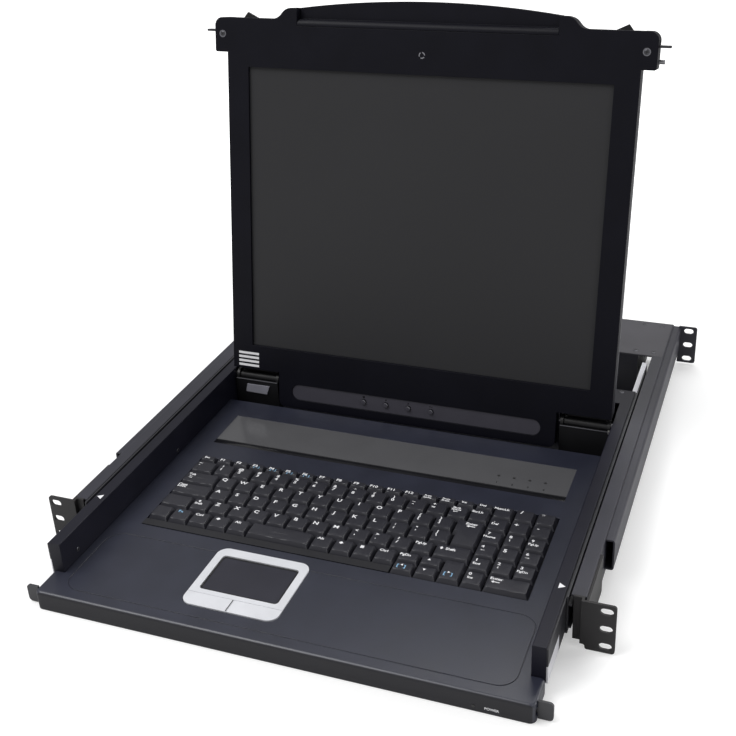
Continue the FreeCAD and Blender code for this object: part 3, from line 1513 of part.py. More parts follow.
def lid_back():
    """The rear half of the lid, a shallow shell with slots for the hinge leaves."""
    body = new_body("lid_back")
    seam, wall = s.lid_seam, s.sheet_gauge
    depth = s.lid_thickness - s.bezel_depth
    outer = plane_sketch(body, "XZ_Plane", 0)
    side, top = s.lid_half - seam, up(s.ear_top - seam)
    outline = lid_foot(side, s.lid_low + seam, s.tail_half - seam, s.tail_low + seam)
    draw(outer, outline + [(side, top)] + lid_top(seam) + [(-side, top)])
    pad(body, outer, depth, backwards=True)
    round_edges(body, "y", [(side, top), (-side, top)], s.lid_corner)
    room = plane_sketch(body, "XZ_Plane", 0)
    draw(room, lid_room(seam + wall, seam + wall))
    pocket(body, room, depth - wall)
    low = up(s.lid_low)
    tools = []
    for side in (1, -1):
        x = leaf_limits()
        x = (x[0] - s.slide_play, x[1] + s.slide_play)
        limits = x if side > 0 else (-x[1], -x[0])
        y = leaf_depth()
        tools.append(block(f"leaf_slot{side + 1}", limits, (y[0] - s.slide_play, y[1] + s.slide_play),
                           (low, low + s.lid_wall * 2)))
    node("lid_back", cut("lid_back_done", body, tools), place_lid)


def leaf_limits():
    """Limits of the hinge leaf along the axis."""
    return (s.hinge_inner + s.knuckle_width + s.pin_radius, s.hinge_outer - s.knuckle_width - s.pin_radius)


def leaf_depth():
    return s.pin_radius, s.pin_radius + s.leaf_gauge


def hinge_leaves():
    """The lid's half of each hinge: a barrel between the eyes and a leaf in the lid."""
    play = s.slide_play
    x = (s.hinge_inner + s.knuckle_width + play, s.hinge_outer - s.knuckle_width - play)
    barrel = rod("barrel", "x", s.barrel_radius, (0, 0), x[0], x[1])
    leaf = block("leaf", leaf_limits(), leaf_depth(), (0, s.leaf_height))
    bore = rod("barrel_bore", "x", s.pin_radius + s.pin_play, (0, 0), x[0] - 1, x[1] + 1)
    both_sides("hinge_leaves", cut("hinge_leaf", fuse("leaf_solid", [barrel, leaf]), [bore]), place_lid)


def lcd_panel():
    """The display module behind the picture window."""
    rim = s.lcd_rim
    half = s.screen_width / 2 + rim
    low, high = up(-rim - s.lid_wall), up(s.screen_height + rim + s.lid_wall)
    front = s.bezel_face - s.bezel_depth
    glass = block("lcd_glass", (-half, half), (front, front + s.lcd_depth), (low, high))
    back = front + s.lcd_depth
    shelf = block("lcd_driver", (-half / 2, half / 2), (back, back + s.lcd_driver_depth),
                  (low + rim, low + rim * 3))
    node("lcd_panel", fuse("lcd_panel_done", [glass, shelf]), place_lid)


def lid_handle():
    """The arched grip: a rounded sill in front of a deep finger recess, open at the top."""
    body = new_body("lid_handle")
    half, low, high = s.grip_half, up(s.grip_low), up(s.arch_start)
    bow = (half * half + s.arch_rise * s.arch_rise) / (s.arch_rise * 2)
    face = plane_sketch(body, "XZ_Plane", s.bezel_depth)
    draw(face, [(-half, low), (half, low), (half, high), (-half, high, bow)])
    pad(body, face, s.lid_thickness, backwards=True)
    front = -s.bezel_depth
    sill = low + s.grip_sill
    ledge = sill + s.grip_round
    recess = plane_sketch(body, "YZ_Plane", -half - s.lid_wall)
    draw(recess, [(front, sill), (front + s.grip_round, ledge, -s.grip_round),
                  (front + s.grip_depth, ledge), (front + s.grip_depth, up(s.arch_top + s.lid_wall)),
                  (front - s.lid_wall, up(s.arch_top + s.lid_wall)), (front - s.lid_wall, sill)])
    pocket(body, recess, (half + s.lid_wall) * 2, backwards=True)
    node("lid_handle", body, place_lid)


def menu_board():
    """The small circuit board behind the menu buttons, on four posts."""
    width = s.menu_button_pitch
    x = (s.menu_button_x - width / 2, s.menu_button_x + width * 3.5)
    z = (up(s.menu_button_height) - width / 3, up(s.menu_button_height) + width / 3)
    inner = s.bezel_face - s.bezel_depth
    back = menu_board_front()
    pieces = [block("menu_plate", x, (back, back + s.board_thickness), z)]
    for place in ((x[0] + 2, z[0] + 2), (x[1] - 2, z[0] + 2), (x[0] + 2, z[1] - 2), (x[1] - 2, z[1] - 2)):
        pieces.append(rod(f"menu_post{len(pieces)}", "y", s.board_thickness, place, inner, back))
    node("menu_board", fuse("menu_board_done", pieces), place_lid)


def menu_board_front():
    return -s.bezel_depth / 3


def menu_buttons():
    """Four round push buttons in the control bar."""
    for number in range(4):
        x = s.menu_button_x + s.menu_button_pitch * number
        back = menu_board_front() - s.menu_button_travel - s.slide_play
        button = rod(f"menu_cap{number}", "y", s.menu_button_radius, (x, up(s.menu_button_height)),
                     -s.bezel_depth - s.menu_button_travel, back)
        node(f"menu_button_{number + 1}", together(f"menu_cap{number}_done", [button]), place_lid)


def lid_catch():
    """A release plate beside the lid's ear; its stem slides in the ear."""
    near = s.ear_half + s.slide_play
    middle = s.bezel_face / 2 - s.bezel_depth / 2
    half = s.lid_catch_depth / 2
    plate = block("lid_catch_plate", (near, near + s.lid_catch_width), (middle - half, middle + half),
                  lid_catch_limits())
    stem = block("lid_catch_stem", (near - s.slide_hook * 2, near), lid_catch_stem_depth(),
                 lid_catch_limits())
    node_pair("lid_catch", fuse("lid_catch_done", [plate, stem]), place_lid)


def latch_pins():
    """The pins at the lid's ears that lock the closed lid."""
    reach = s.ear_half + s.latch_pin_proud
    pin = rod("latch_pin", "x", s.latch_pin_radius, latch_pin_place(), reach - s.latch_pin_length, reach)
    both_sides("latch_pins", pin, place_lid)


def lid_stops():
    """Two low triangular stops on the lid's top edge."""
    body = new_body("lid_stop")
    face = plane_sketch(body, "XZ_Plane", -s.bezel_face)
    low, far = up(s.ear_top - s.lid_seam), s.lid_half - s.stop_inset
    draw(face, [(far - s.stop_width, low), (far, low), (far - s.stop_peak, low + s.stop_rise)])
    pad(body, face, s.sheet_gauge * 2, backwards=True)
    both_sides("lid_stops", body, place_lid)


def build():
    """Draw every node, then check and export them."""
    for piece in (front_bracket, rail, rear_bracket, rear_housing, rear_cover, main_board, power_supply,
                  power_inlet, power_switch, computer_ports, slides, drawer_pan, side_channel,
                  cross_cover, deck, status_strip, lamps, touchpad_frame, touchpad, keyboard_base,
                  keys, hinge_bases, hinge_pins, tray_catch, lid_bezel, lid_back, lcd_panel,
                  lid_handle, hinge_leaves, menu_board, menu_buttons, lid_catch, latch_pins, lid_stops):
        piece()
    doc.recompute()
    for item in doc.Objects:
        if "Invalid" in item.State or "Error" in item.State:
            raise RuntimeError(f"{item.Label} is in state {item.State}")
    os.makedirs("parts", exist_ok=True)
    for thing in nodes:
        shape = thing.Shape
        if shape.isNull() or not shape.isValid() or not shape.Solids:
            raise RuntimeError(f"{thing.Label} has no valid solid")
        shape.exportStep(f"parts/{thing.Label}.step")
    print(f"{len(nodes)} nodes exported")


build()
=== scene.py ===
"""Looks for the rack console drawer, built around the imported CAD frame."""
import math
import bmesh
import bpy
from mathutils import Matrix, Vector


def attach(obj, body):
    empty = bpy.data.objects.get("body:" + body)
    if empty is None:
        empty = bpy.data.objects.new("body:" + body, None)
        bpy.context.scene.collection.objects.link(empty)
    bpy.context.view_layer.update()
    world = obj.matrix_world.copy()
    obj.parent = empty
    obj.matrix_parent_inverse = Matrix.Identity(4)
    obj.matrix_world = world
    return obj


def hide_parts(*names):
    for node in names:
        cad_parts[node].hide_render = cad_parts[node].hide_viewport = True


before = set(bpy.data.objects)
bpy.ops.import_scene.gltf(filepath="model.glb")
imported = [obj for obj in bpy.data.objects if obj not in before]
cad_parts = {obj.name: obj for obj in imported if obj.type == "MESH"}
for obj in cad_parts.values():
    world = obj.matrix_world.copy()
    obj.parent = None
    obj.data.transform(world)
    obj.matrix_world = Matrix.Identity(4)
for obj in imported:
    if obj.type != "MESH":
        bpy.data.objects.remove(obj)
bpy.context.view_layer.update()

# Heights and places of the local frames in the shared frame, in metres
UNDERSIDE = -0.0224
FLOOR = -0.0229
TRAY_FRONT = -0.083
HINGE_Y, HINGE_Z, LID_RISE = 0.258, 0.0126, 0.036
LID_TILT = math.radians(-10.0)

# Local frames, in millimetres: the tray from its front edge, the lid from above its hinge axis
MM = Matrix.Scale(0.001, 4)
RACK = Matrix.Translation((0, 0, UNDERSIDE)) @ MM
TRAY = Matrix.Translation((0, TRAY_FRONT, UNDERSIDE)) @ MM
LID = (Matrix.Translation((0, HINGE_Y, HINGE_Z)) @ Matrix.Rotation(LID_TILT, 4, "X")
       @ Matrix.Translation((0, 0, LID_RISE)) @ MM)

SIDES = ((1, "right"), (-1, "left"))

# Lid frame: front planes of the bezel and of the recessed bar's floor, the row of buttons in
# it, and the bar's straight half length, end radius and the plane that bounds it at the front
BEZEL_FRONT, BAR_FLOOR = -10.9, -10.0
BUTTON_FIRST, BUTTON_PITCH, BUTTON_Z = -49.6, 22.9, -43.0
BAR_HALF, BAR_RADIUS, BAR_LIMIT = 118.0, 7.7, -10.3

# Tray frame: tops of the side channels and the status strip
CHANNEL_TOP, STRIP_TOP = 43.5, 16.4

# How far flat print stands off the surface that carries it
PRINT = 0.03


# Materials

def material(name, colour, roughness, metallic=0.0, grain=0.0, grain_scale=900.0, mottle=0.12,
             mottle_scale=35.0, specular=0.5, bevel=0.0):
    """A surface with slightly uneven colour and roughness, and a fine moulded or sprayed grain."""
    mat = bpy.data.materials.new(name)
    mat.use_nodes = True
    tree = mat.node_tree
    shader = tree.nodes["Principled BSDF"]
    shader.inputs["Metallic"].default_value = metallic
    shader.inputs["Specular IOR Level"].default_value = specular
    place = tree.nodes.new("ShaderNodeTexCoord")
    cloud = tree.nodes.new("ShaderNodeTexNoise")
    cloud.inputs["Scale"].default_value = mottle_scale
    cloud.inputs["Detail"].default_value = 4.0
    tree.links.new(place.outputs["Object"], cloud.inputs["Vector"])
    tint = tree.nodes.new("ShaderNodeValToRGB")
    tint.color_ramp.elements[0].position = 0.3
    tint.color_ramp.elements[1].position = 0.7
    tint.color_ramp.elements[0].color = (*[c * (1.0 - mottle) for c in colour], 1.0)
    tint.color_ramp.elements[1].color = (*[c * (1.0 + mottle) for c in colour], 1.0)
    tree.links.new(cloud.outputs["Fac"], tint.inputs["Fac"])
    tree.links.new(tint.outputs["Color"], shader.inputs["Base Color"])
    rough = tree.nodes.new("ShaderNodeMapRange")
    rough.inputs["To Min"].default_value = max(0.02, roughness - 0.05)
    rough.inputs["To Max"].default_value = min(1.0, roughness + 0.05)
    tree.links.new(cloud.outputs["Fac"], rough.inputs["Value"])
    tree.links.new(rough.outputs["Result"], shader.inputs["Roughness"])
    normal = None
    if bevel:
        edge = tree.nodes.new("ShaderNodeBevel")
        edge.samples = 4
        edge.inputs["Radius"].default_value = bevel
        normal = edge.outputs["Normal"]
    if grain:
        fine = tree.nodes.new("ShaderNodeTexNoise")
        fine.inputs["Scale"].default_value = grain_scale
        fine.inputs["Detail"].default_value = 2.0
        tree.links.new(place.outputs["Object"], fine.inputs["Vector"])
        bump = tree.nodes.new("ShaderNodeBump")
        bump.inputs["Strength"].default_value = grain
        bump.inputs["Distance"].default_value = 0.0002
        tree.links.new(fine.outputs["Fac"], bump.inputs["Height"])
        if normal:
            tree.links.new(normal, bump.inputs["Normal"])
        normal = bump.outputs["Normal"]
    if normal:
        tree.links.new(normal, shader.inputs["Normal"])
    return mat


def blend(name, first, second, mask_of):
    """Two looks in one surface. The second is a colour, a roughness and a metallic share, and
    mask_of draws where it shows."""
    colour, roughness, metallic = second
    mat = first.copy()
    mat.name = name
    tree = mat.node_tree
    end = tree.nodes["Material Output"]
    near = tree.nodes["Principled BSDF"]
    far = tree.nodes.new("ShaderNodeBsdfPrincipled")
    place = tree.nodes.new("ShaderNodeTexCoord")
    cloud = tree.nodes.new("ShaderNodeTexNoise")
    cloud.inputs["Scale"].default_value = 120.0
    tree.links.new(place.outputs["Object"], cloud.inputs["Vector"])
    tint = tree.nodes.new("ShaderNodeValToRGB")
    tint.color_ramp.elements[0].color = (*[c * 0.9 for c in colour], 1.0)
    tint.color_ramp.elements[1].color = (*[c * 1.1 for c in colour], 1.0)
    tree.links.new(cloud.outputs["Fac"], tint.inputs["Fac"])
    tree.links.new(tint.outputs["Color"], far.inputs["Base Color"])
    far.inputs["Roughness"].default_value = roughness
    far.inputs["Metallic"].default_value = metallic
    mix = tree.nodes.new("ShaderNodeMixShader")
    tree.links.new(mask_of(tree, place.outputs["Object"]), mix.inputs["Fac"])
    tree.links.new(near.outputs[0], mix.inputs[1])
    tree.links.new(far.outputs[0], mix.inputs[2])
    tree.links.new(mix.outputs[0], end.inputs["Surface"])
    return mat


def calc(tree, operation, *values):
    """One step of arithmetic in a node tree; values are numbers or sockets."""
    step = tree.nodes.new("ShaderNodeMath")
    step.operation = operation
    for index, value in enumerate(values):
        if isinstance(value, (int, float)):
            step.inputs[index].default_value = value
        else:
            tree.links.new(value, step.inputs[index])
    return step.outputs[0]


def axes_of(tree, vector):
    """The three parts of a vector as sockets."""
    split = tree.nodes.new("ShaderNodeSeparateXYZ")
    tree.links.new(vector, split.inputs[0])
    return split.outputs[0], split.outputs[1], split.outputs[2]


def painted_highlight_ends(tree, place):
    """Painted highlight: the slide is pale metal only low at the tray front and behind the drawer,
    where it catches light, and dark elsewhere.
    """
    front_end, front_top, rear_start = -0.02, 0.0045, 0.316
    _, along, height = axes_of(tree, place)
    low = calc(tree, "LESS_THAN", height, front_top)
    front = calc(tree, "MULTIPLY", calc(tree, "LESS_THAN", along, front_end), low)
    return calc(tree, "MAXIMUM", front, calc(tree, "GREATER_THAN", along, rear_start))


def painted_shade_front(tree, place):
    """The front face of the tray, matt, and darker as painted shade."""
    return calc(tree, "LESS_THAN", axes_of(tree, place)[1], -0.0822)


def control_bar(tree, place):
    """The floor of the recessed bar round the screen's buttons, in the lid's own frame."""
    turn_back = tree.nodes.new("ShaderNodeMapping")
    turn_back.inputs["Scale"].default_value = (1000, 1000, 1000)
    turn_back.inputs["Rotation"].default_value = (-LID_TILT, 0, 0)
    home = Matrix.Rotation(-LID_TILT, 4, "X") @ Vector((0, HINGE_Y * 1000, HINGE_Z * 1000))
    turn_back.inputs["Location"].default_value = (0, -home.y, -home.z - LID_RISE * 1000)
    tree.links.new(place, turn_back.inputs["Vector"])
    across, depth, height = axes_of(tree, turn_back.outputs[0])
    past_end = calc(tree, "SUBTRACT", calc(tree, "ABSOLUTE", across), BAR_HALF)
    outside = calc(tree, "MAXIMUM", past_end, 0.0)
    apart = calc(tree, "ABSOLUTE", calc(tree, "ADD", height, -BUTTON_Z))
    reach = calc(tree, "SQRT", calc(tree, "ADD", calc(tree, "MULTIPLY", outside, outside),
                                    calc(tree, "MULTIPLY", apart, apart)))
    inside = calc(tree, "LESS_THAN", reach, BAR_RADIUS)
    sunk = calc(tree, "GREATER_THAN", depth, BAR_LIMIT)
    return calc(tree, "MULTIPLY", inside, sunk)


BAR_GREY = (0.045, 0.043, 0.056)

RAIL = material("rail_paint", (0.026, 0.026, 0.036), 0.45, grain=0.25, bevel=0.0006)
COVER = material("cover_paint", (0.058, 0.056, 0.066), 0.5, grain=0.25, bevel=0.0006)
# The rack's dark paint made darker on the front brackets, as painted shade on their front-facing
# plates
BRACKET = material("bracket_paint_shaded", (0.012, 0.011, 0.012), 0.5, grain=0.25, bevel=0.0006)
SHEET = material("tray_paint", (0.007, 0.007, 0.014), 0.45, grain=0.25, bevel=0.0006,
                 specular=0.28)
ZINC = material("zinc", (0.42, 0.42, 0.44), 0.34, metallic=1.0, grain=0.1, grain_scale=300.0,
                mottle=0.2)
DARK_SLIDE = material("slide_paint", (0.022, 0.022, 0.026), 0.42, grain=0.2, bevel=0.0004)
# The inner slides: dark paint, with a painted highlight of pale metal at their ends
INNER_SLIDE = blend("inner_slide", DARK_SLIDE, ((0.80, 0.80, 0.84), 0.32, 0.35), painted_highlight_ends)
DECK_TOP = material("deck_plastic", (0.016, 0.018, 0.032), 0.38, grain=0.3,
                    grain_scale=1400.0, bevel=0.0005, specular=0.7)
# The deck, with its front face darker as painted shade
DECK = blend("deck_and_shaded_front", DECK_TOP, ((0.011, 0.011, 0.015), 0.6, 0.0), painted_shade_front)
BEZEL = material("bezel_plastic", (0.0030, 0.0030, 0.0065), 0.5, grain=0.3,
                 grain_scale=1400.0, bevel=0.0006, specular=0.16)
FACE = blend("bezel_and_bar", BEZEL, (BAR_GREY, 0.4, 0.0), control_bar)
SHELL = material("lid_paint", (0.020, 0.020, 0.028), 0.45, grain=0.25, bevel=0.0006)
KEYS = material("key_plastic", (0.018, 0.018, 0.025), 0.42, grain=0.3, grain_scale=2000.0,
                mottle=0.08, specular=0.6)
BASE = material("keyboard_plastic", (0.010, 0.010, 0.013), 0.5, grain=0.2)
STRIP = material("strip_gloss", (0.085, 0.085, 0.090), 0.15, mottle=0.04)
SILVER = material("silver_lacquer", (0.80, 0.81, 0.85), 0.36, metallic=0.35, grain=0.15,
                  grain_scale=2500.0, mottle=0.05)
PAD = material("touch_surface", (0.018, 0.018, 0.028), 0.4, grain=0.15, grain_scale=3000.0)
# Black plastic for the hinge bases, power parts and lid stops; the same black is painted shade in
# the screw recesses and round the touchpad
BLACK = material("black_plastic", (0.005, 0.005, 0.006), 0.45, grain=0.2)
PLATE = material("button_plastic", BAR_GREY, 0.4)
# Pale grey metal for the ear rings, and for the painted highlight along the hinge plates' edges
EDGE = material("pale_edge_and_highlight", (0.18, 0.18, 0.20), 0.4, metallic=0.5)
TAB = material("hinge_tab", (0.26, 0.26, 0.30), 0.5)
BOARD = material("solder_mask", (0.015, 0.10, 0.035), 0.35, mottle=0.25, mottle_scale=220.0)
CASE = material("supply_metal", (0.52, 0.52, 0.54), 0.38, metallic=1.0, mottle=0.1)
NICKEL = material("connector_nickel", (0.60, 0.59, 0.56), 0.28, metallic=1.0, mottle=0.08)
SCREEN = material("screen_film", (0.024, 0.024, 0.026), 0.5, mottle=0.03, mottle_scale=6.0,
                  specular=0.3)
LENS = material("lamp_lens", (0.03, 0.03, 0.03), 0.3, mottle=0.1)
# Black gloss for print, and for the band along the status strip as painted shade
GLOSS = material("black_gloss_print_and_shade", (0.008, 0.008, 0.010), 0.18, mottle=0.1)
CATCH = material("catch_metal", (0.035, 0.035, 0.040), 0.4, grain=0.2, bevel=0.0004)
SCREW = material("screw_metal", (0.10, 0.10, 0.11), 0.32, metallic=0.9, mottle=0.2,
                 mottle_scale=400.0)
WHITE = material("legend_white", (0.80, 0.80, 0.82), 0.6, mottle=0.03)
BLUE = material("legend_blue", (0.22, 0.42, 0.62), 0.6, mottle=0.03)
# Grey print for the round mark, and the painted highlight crescents on the buttons
GREY = material("grey_print_and_highlight", (0.20, 0.20, 0.22), 0.6, mottle=0.03)

LOOKS = {
    RAIL: ["rail_left", "rail_right", "rear_bracket_left", "rear_bracket_right",
           "rear_housing"],
    COVER: ["rear_cover"],
    BRACKET: ["front_bracket_left", "front_bracket_right"],
    SHEET: ["drawer_pan", "side_channel_left", "side_channel_right", "cross_cover"],
    DARK_SLIDE: ["slide_outer_left", "slide_outer_right", "slide_mid_left",
                 "slide_mid_right"],
    ZINC: ["hinge_pins", "latch_pins"],
    INNER_SLIDE: ["slide_inner_left", "slide_inner_right"],
    BLACK: ["hinge_bases", "hinge_leaves", "power_inlet", "power_switch", "lid_stops"],
    DECK: ["deck"],
    BASE: ["keyboard_base"],
    STRIP: ["status_strip"],
    SILVER: ["touchpad_frame", "touchpad_button_left", "touchpad_button_right"],
    PAD: ["touchpad"],
    BOARD: ["main_board", "menu_board"],
    CASE: ["power_supply"],
    NICKEL: ["computer_ports"],
    SCREEN: ["lcd_panel"],
    LENS: ["lamps"],
    CATCH: ["tray_catch_left", "tray_catch_right", "lid_catch_left", "lid_catch_right"],
    FACE: ["lid_bezel"],
    BEZEL: ["lid_handle", "menu_button_1", "menu_button_2", "menu_button_3",
            "menu_button_4"],
    SHELL: ["lid_back"],
}


def dress(node, mat):
    """Give a CAD node its material."""
    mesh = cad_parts[node].data
    mesh.materials.clear()
    mesh.materials.append(mat)


for look, names in LOOKS.items():
    for name in names:
        dress(name, look)


# Mesh helpers

SHARP_ANGLE = math.radians(38)
CORNER_STEPS = 4
SCREW_SIDES = 20
SCREW_HEIGHT = 0.4


def piece(name, bm, place, mats, body, replaces=(), smooth=True):
    """Turn a bmesh drawn in a local frame into a piece that rides on a body."""
    bmesh.ops.recalc_face_normals(bm, faces=bm.faces[:])
    mesh = bpy.data.meshes.new(name)
    bm.to_mesh(mesh)
    bm.free()
    mesh.transform(place)
    for mat in mats:
        mesh.materials.append(mat)
    if smooth:
        mesh.shade_smooth()
        mesh.set_sharp_from_angle(angle=SHARP_ANGLE)
    obj = bpy.data.objects.new(name, mesh)
    bpy.context.scene.collection.objects.link(obj)
    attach(obj, body)
    if replaces:
        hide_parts(*replaces)


def rounded_loop(x0, x1, y0, y1, radius):
    """Points of a rectangle with round corners, counter-clockwise from the front right."""
    shortest = 0.01
    radius = min(radius, (x1 - x0) / 2 - shortest, (y1 - y0) / 2 - shortest)
    corners = ((x1 - radius, y0 + radius, -90), (x1 - radius, y1 - radius, 0),
               (x0 + radius, y1 - radius, 90), (x0 + radius, y0 + radius, 180))
    points = []
    for cx, cy, start in corners:
        for step in range(CORNER_STEPS + 1):
            angle = math.radians(start + 90 * step / CORNER_STEPS)
            points.append((cx + radius * math.cos(angle), cy + radius * math.sin(angle)))
    return points


def round_angles(sides):
    """The angles of a full turn in equal steps."""
    return [math.tau * i / sides for i in range(sides)]


def lid_point(x, y, z, radius, angle):
    """A point round a centre, in a plane parallel to the lid's front."""
    return (x + radius * math.cos(angle), y, z + radius * math.sin(angle))


def loft(bm, loops, close_low=True, close_high=True):
    """Skin a stack of loops that have the same number of points."""
    rings = [[bm.verts.new(p) for p in loop] for loop in loops]
    count = len(rings[0])
    for low, high in zip(rings, rings[1:]):
        for i in range(count):
            j = (i + 1) % count
            bm.faces.new((low[i], low[j], high[j], high[i]))
    if close_low:
        bm.faces.new(list(reversed(rings[0])))
    if close_high:
        bm.faces.new(rings[-1])


def box(bm, low, high, edge):
    """A block with softened edges."""
    size = [b - a for a, b in zip(low, high)]
    centre = [(a + b) / 2 for a, b in zip(low, high)]
    place = Matrix.Translation(centre) @ Matrix.Diagonal((*size, 1))
    made = bmesh.ops.create_cube(bm, size=1.0, matrix=place)
    edges = list({e for v in made["verts"] for e in v.link_edges})
    bmesh.ops.bevel(bm, geom=edges, offset=edge, segments=2, affect="EDGES", profile=0.5)


def turn(axis):
    """A rotation that takes Z to an axis."""
    return Vector((0, 0, 1)).rotation_difference(Vector(axis)).to_matrix().to_4x4()


def add_shape(bm, points, material_index=0):
    """Add one flat face through the points."""
    face = bm.faces.new([bm.verts.new(p) for p in points])
    face.material_index = material_index


def screw(bm, centre, axis, radius, recess_turn):
    """A pan-head screw with a cross recess; the recess is a flat black cross in the second
    material, painted shade.
    """
    place = Matrix.Translation(centre) @ turn(axis) @ Matrix.Rotation(recess_turn, 4, "Z")
    profile = [(radius, 0.0), (radius, SCREW_HEIGHT * 0.45),
               (radius * 0.86, SCREW_HEIGHT * 0.85), (radius * 0.6, SCREW_HEIGHT)]
    loops = [[place @ Vector((r * math.cos(a), r * math.sin(a), z))
              for a in round_angles(SCREW_SIDES)] for r, z in profile]
    loft(bm, loops, close_low=False)
    half, wide = radius * 0.55, radius * 0.13
    corners = ((-half, -wide), (half, -wide), (half, wide), (-half, wide))
    for angle in (0.0, math.pi / 2):
        bar = place @ Matrix.Rotation(angle, 4, "Z")
        add_shape(bm, [bar @ Vector((x, y, SCREW_HEIGHT + 0.01)) for x, y in corners], 1)


def screws(name, spots, axis, radius, place, body):
    """A piece of like screws, each turned a little further than the one before."""
    bm = bmesh.new()
    for index, spot in enumerate(spots):
        screw(bm, spot, axis, radius, 0.5 + 0.9 * index)
    # The second material, black, is painted shade in the recesses
    piece(name, bm, place, [SCREW, BLACK], body)


def text_shape(words, size):
    """Outline of a word as a flat mesh, its middle at the origin."""
    curve = bpy.data.curves.new("word", "FONT")
    curve.body = words
    curve.size = size
    curve.align_x = "CENTER"
    curve.align_y = "CENTER"
    curve.resolution_u = 3
    curve.offset = size * 0.03
    holder = bpy.data.objects.new("word", curve)
    bpy.context.scene.collection.objects.link(holder)
    bpy.context.view_layer.update()
    graph = bpy.context.evaluated_depsgraph_get()
    mesh = bpy.data.meshes.new_from_object(holder.evaluated_get(graph))
    bpy.data.objects.remove(holder)
    bpy.data.curves.remove(curve)
    return mesh


def add_text(bm, words, size, place, material_index=0, stretch=1.0, lift=None):
    """Add a word to a bmesh; lift gives the height of the surface under a point."""
    mesh = text_shape(words, size)
    first_vert = len(bm.verts)
    first_face = len(bm.faces)
    bm.from_mesh(mesh)
    bm.verts.ensure_lookup_table()
    bm.faces.ensure_lookup_table()
    for vert in bm.verts[first_vert:]:
        vert.co.x *= stretch
        vert.co = place @ vert.co
        if lift:
            vert.co.z = lift(vert.co.x, vert.co.y) + 0.02
    for face in bm.faces[first_face:]:
        face.material_index = material_index
    bpy.data.meshes.remove(mesh)


# Keys, in the tray frame

KEY_LEFT, KEY_WIDTH, KEYS_REAR = -165.5, 280.2, 214.1
MAIN_FRONT, PITCH, ROW = 113.2, 18.4, 18.2
PAD_FRONT, PAD_PITCH, ARROW = 104.9, 18.3, 19.1
PAD_LEFT = KEY_LEFT + KEY_WIDTH
ARROWS_LEFT = PAD_LEFT - 3 * ARROW
HALF_ROW = (MAIN_FRONT + ROW - PAD_FRONT) / 2
TILDE_WIDTH, TAB_WIDTH, CAPS_WIDTH, FIRST_LOWER_WIDTH = 22.6, 34.0, 36.8, 27.6
ENTER_UPPER, ENTER_LOWER = 25.4, 22.6

# The caps: heights, gap to the cell's edge, taper of the sides, depth and reach of the dish
KEY_LOW, KEY_HIGH, GAP = 15.2, 19.6, 0.4
TAPER = 1.9
FRONT_TAPER, REAR_TAPER = TAPER * 1.3, TAPER * 0.6
DISH, DISH_REACH, DISH_STRIP = 0.28, 9.0, 2.4

# The loops up a cap's side: share of the taper, corner radius and height
CAP_SIDES = ((0.0, 0.7, KEY_LOW), (0.06, 0.8, KEY_LOW + 0.3), (0.80, 1.2, KEY_HIGH - 0.9),
             (0.92, 1.3, KEY_HIGH - 0.4))

# The legends: letters against the stated size, and height over the cap
TEXT_SIZE, TEXT_STRETCH, LEGEND_RISE = 1.25, 1.15, 0.06
WHITE_INK, BLUE_INK = 0, 1


def key_top(x0, x1, y0, y1):
    """Limits of a keycap's top face from those of its cell."""
    return (x0 + GAP + TAPER, x1 - GAP - TAPER, y0 + GAP + FRONT_TAPER, y1 - GAP - REAR_TAPER)


def key_surface(top, dish=DISH):
    """Height of the dished top at a point."""
    middle, half = (top[0] + top[1]) / 2, min((top[1] - top[0]) / 2, DISH_REACH)

    def height(x, _):
        across = min(1.0, abs(x - middle) / half)
        return KEY_HIGH - dish * (1.0 - across * across)

    return height


def key_loop(x0, x1, y0, y1, radius, splits):
    """A round-cornered loop whose front and rear edges have extra points for the dish."""
    corners = rounded_loop(x0, x1, y0, y1, radius)
    half = 2 * (CORNER_STEPS + 1)

    def between(start, end):
        return [(start[0] + (end[0] - start[0]) * i / splits, start[1])
                for i in range(1, splits)]

    rear = between(corners[half - 1], corners[half])
    front = between(corners[-1], corners[0])
    return corners[:half] + rear + corners[half:] + front


def keycap(bm, x0, x1, y0, y1):
    """A keycap with round corners, tapered sides and a shallow dish."""
    top = key_top(x0, x1, y0, y1)
    height = key_surface(top)
    base = (x0 + GAP, x1 - GAP, y0 + GAP, y1 - GAP)
    splits = math.ceil((x1 - x0) / DISH_STRIP)
    loops = []
    for share, radius, z in CAP_SIDES:
        limits = [a + (b - a) * share for a, b in zip(base, top)]
        loops.append([(x, y, z) for x, y in key_loop(*limits, radius, splits)])
    middle = (top[3] - top[2]) / 2 - 0.15
    for inset, drop in ((0.0, 0.10), (0.5, 0.0), (middle * 0.5, 0.0), (middle, 0.0)):
        ring = key_loop(top[0] + inset, top[1] - inset, top[2] + inset, top[3] - inset,
                        max(0.1, 1.4 - inset), splits)
        loops.append([(x, y, height(x, y) - drop - 0.03) for x, y in ring])
    loft(bm, loops)
    return top


def tall_enter(bm):
    """The stepped key: its upper part reaches further to the left."""
    right = PAD_LEFT
    y0, y1, y2 = MAIN_FRONT + 2 * ROW, MAIN_FRONT + 3 * ROW, MAIN_FRONT + 4 * ROW
    wide, narrow = right - ENTER_UPPER, right - ENTER_LOWER

    def ring(share, z, inset):
        side = TAPER * share + inset
        front = y0 + GAP + (FRONT_TAPER * share + inset)
        step = y1 + GAP + (FRONT_TAPER * share + inset)
        rear = y2 - GAP - (REAR_TAPER * share + inset)
        upper_left, lower_left, r = wide + GAP + side, narrow + GAP + side, right - GAP - side
        return [(lower_left, front, z), (r, front, z), (r, rear, z),
                (upper_left, rear, z), (upper_left, step, z), (lower_left, step, z)]

    loft(bm, [ring(0.0, KEY_LOW, 0.0), ring(0.8, KEY_HIGH - 0.9, 0.0),
              ring(1.0, KEY_HIGH - 0.15, 0.0), ring(1.0, KEY_HIGH - 0.02, 0.5)])
    return (wide + GAP + TAPER, right - GAP - TAPER, y1 + GAP, y2 - GAP - REAR_TAPER)


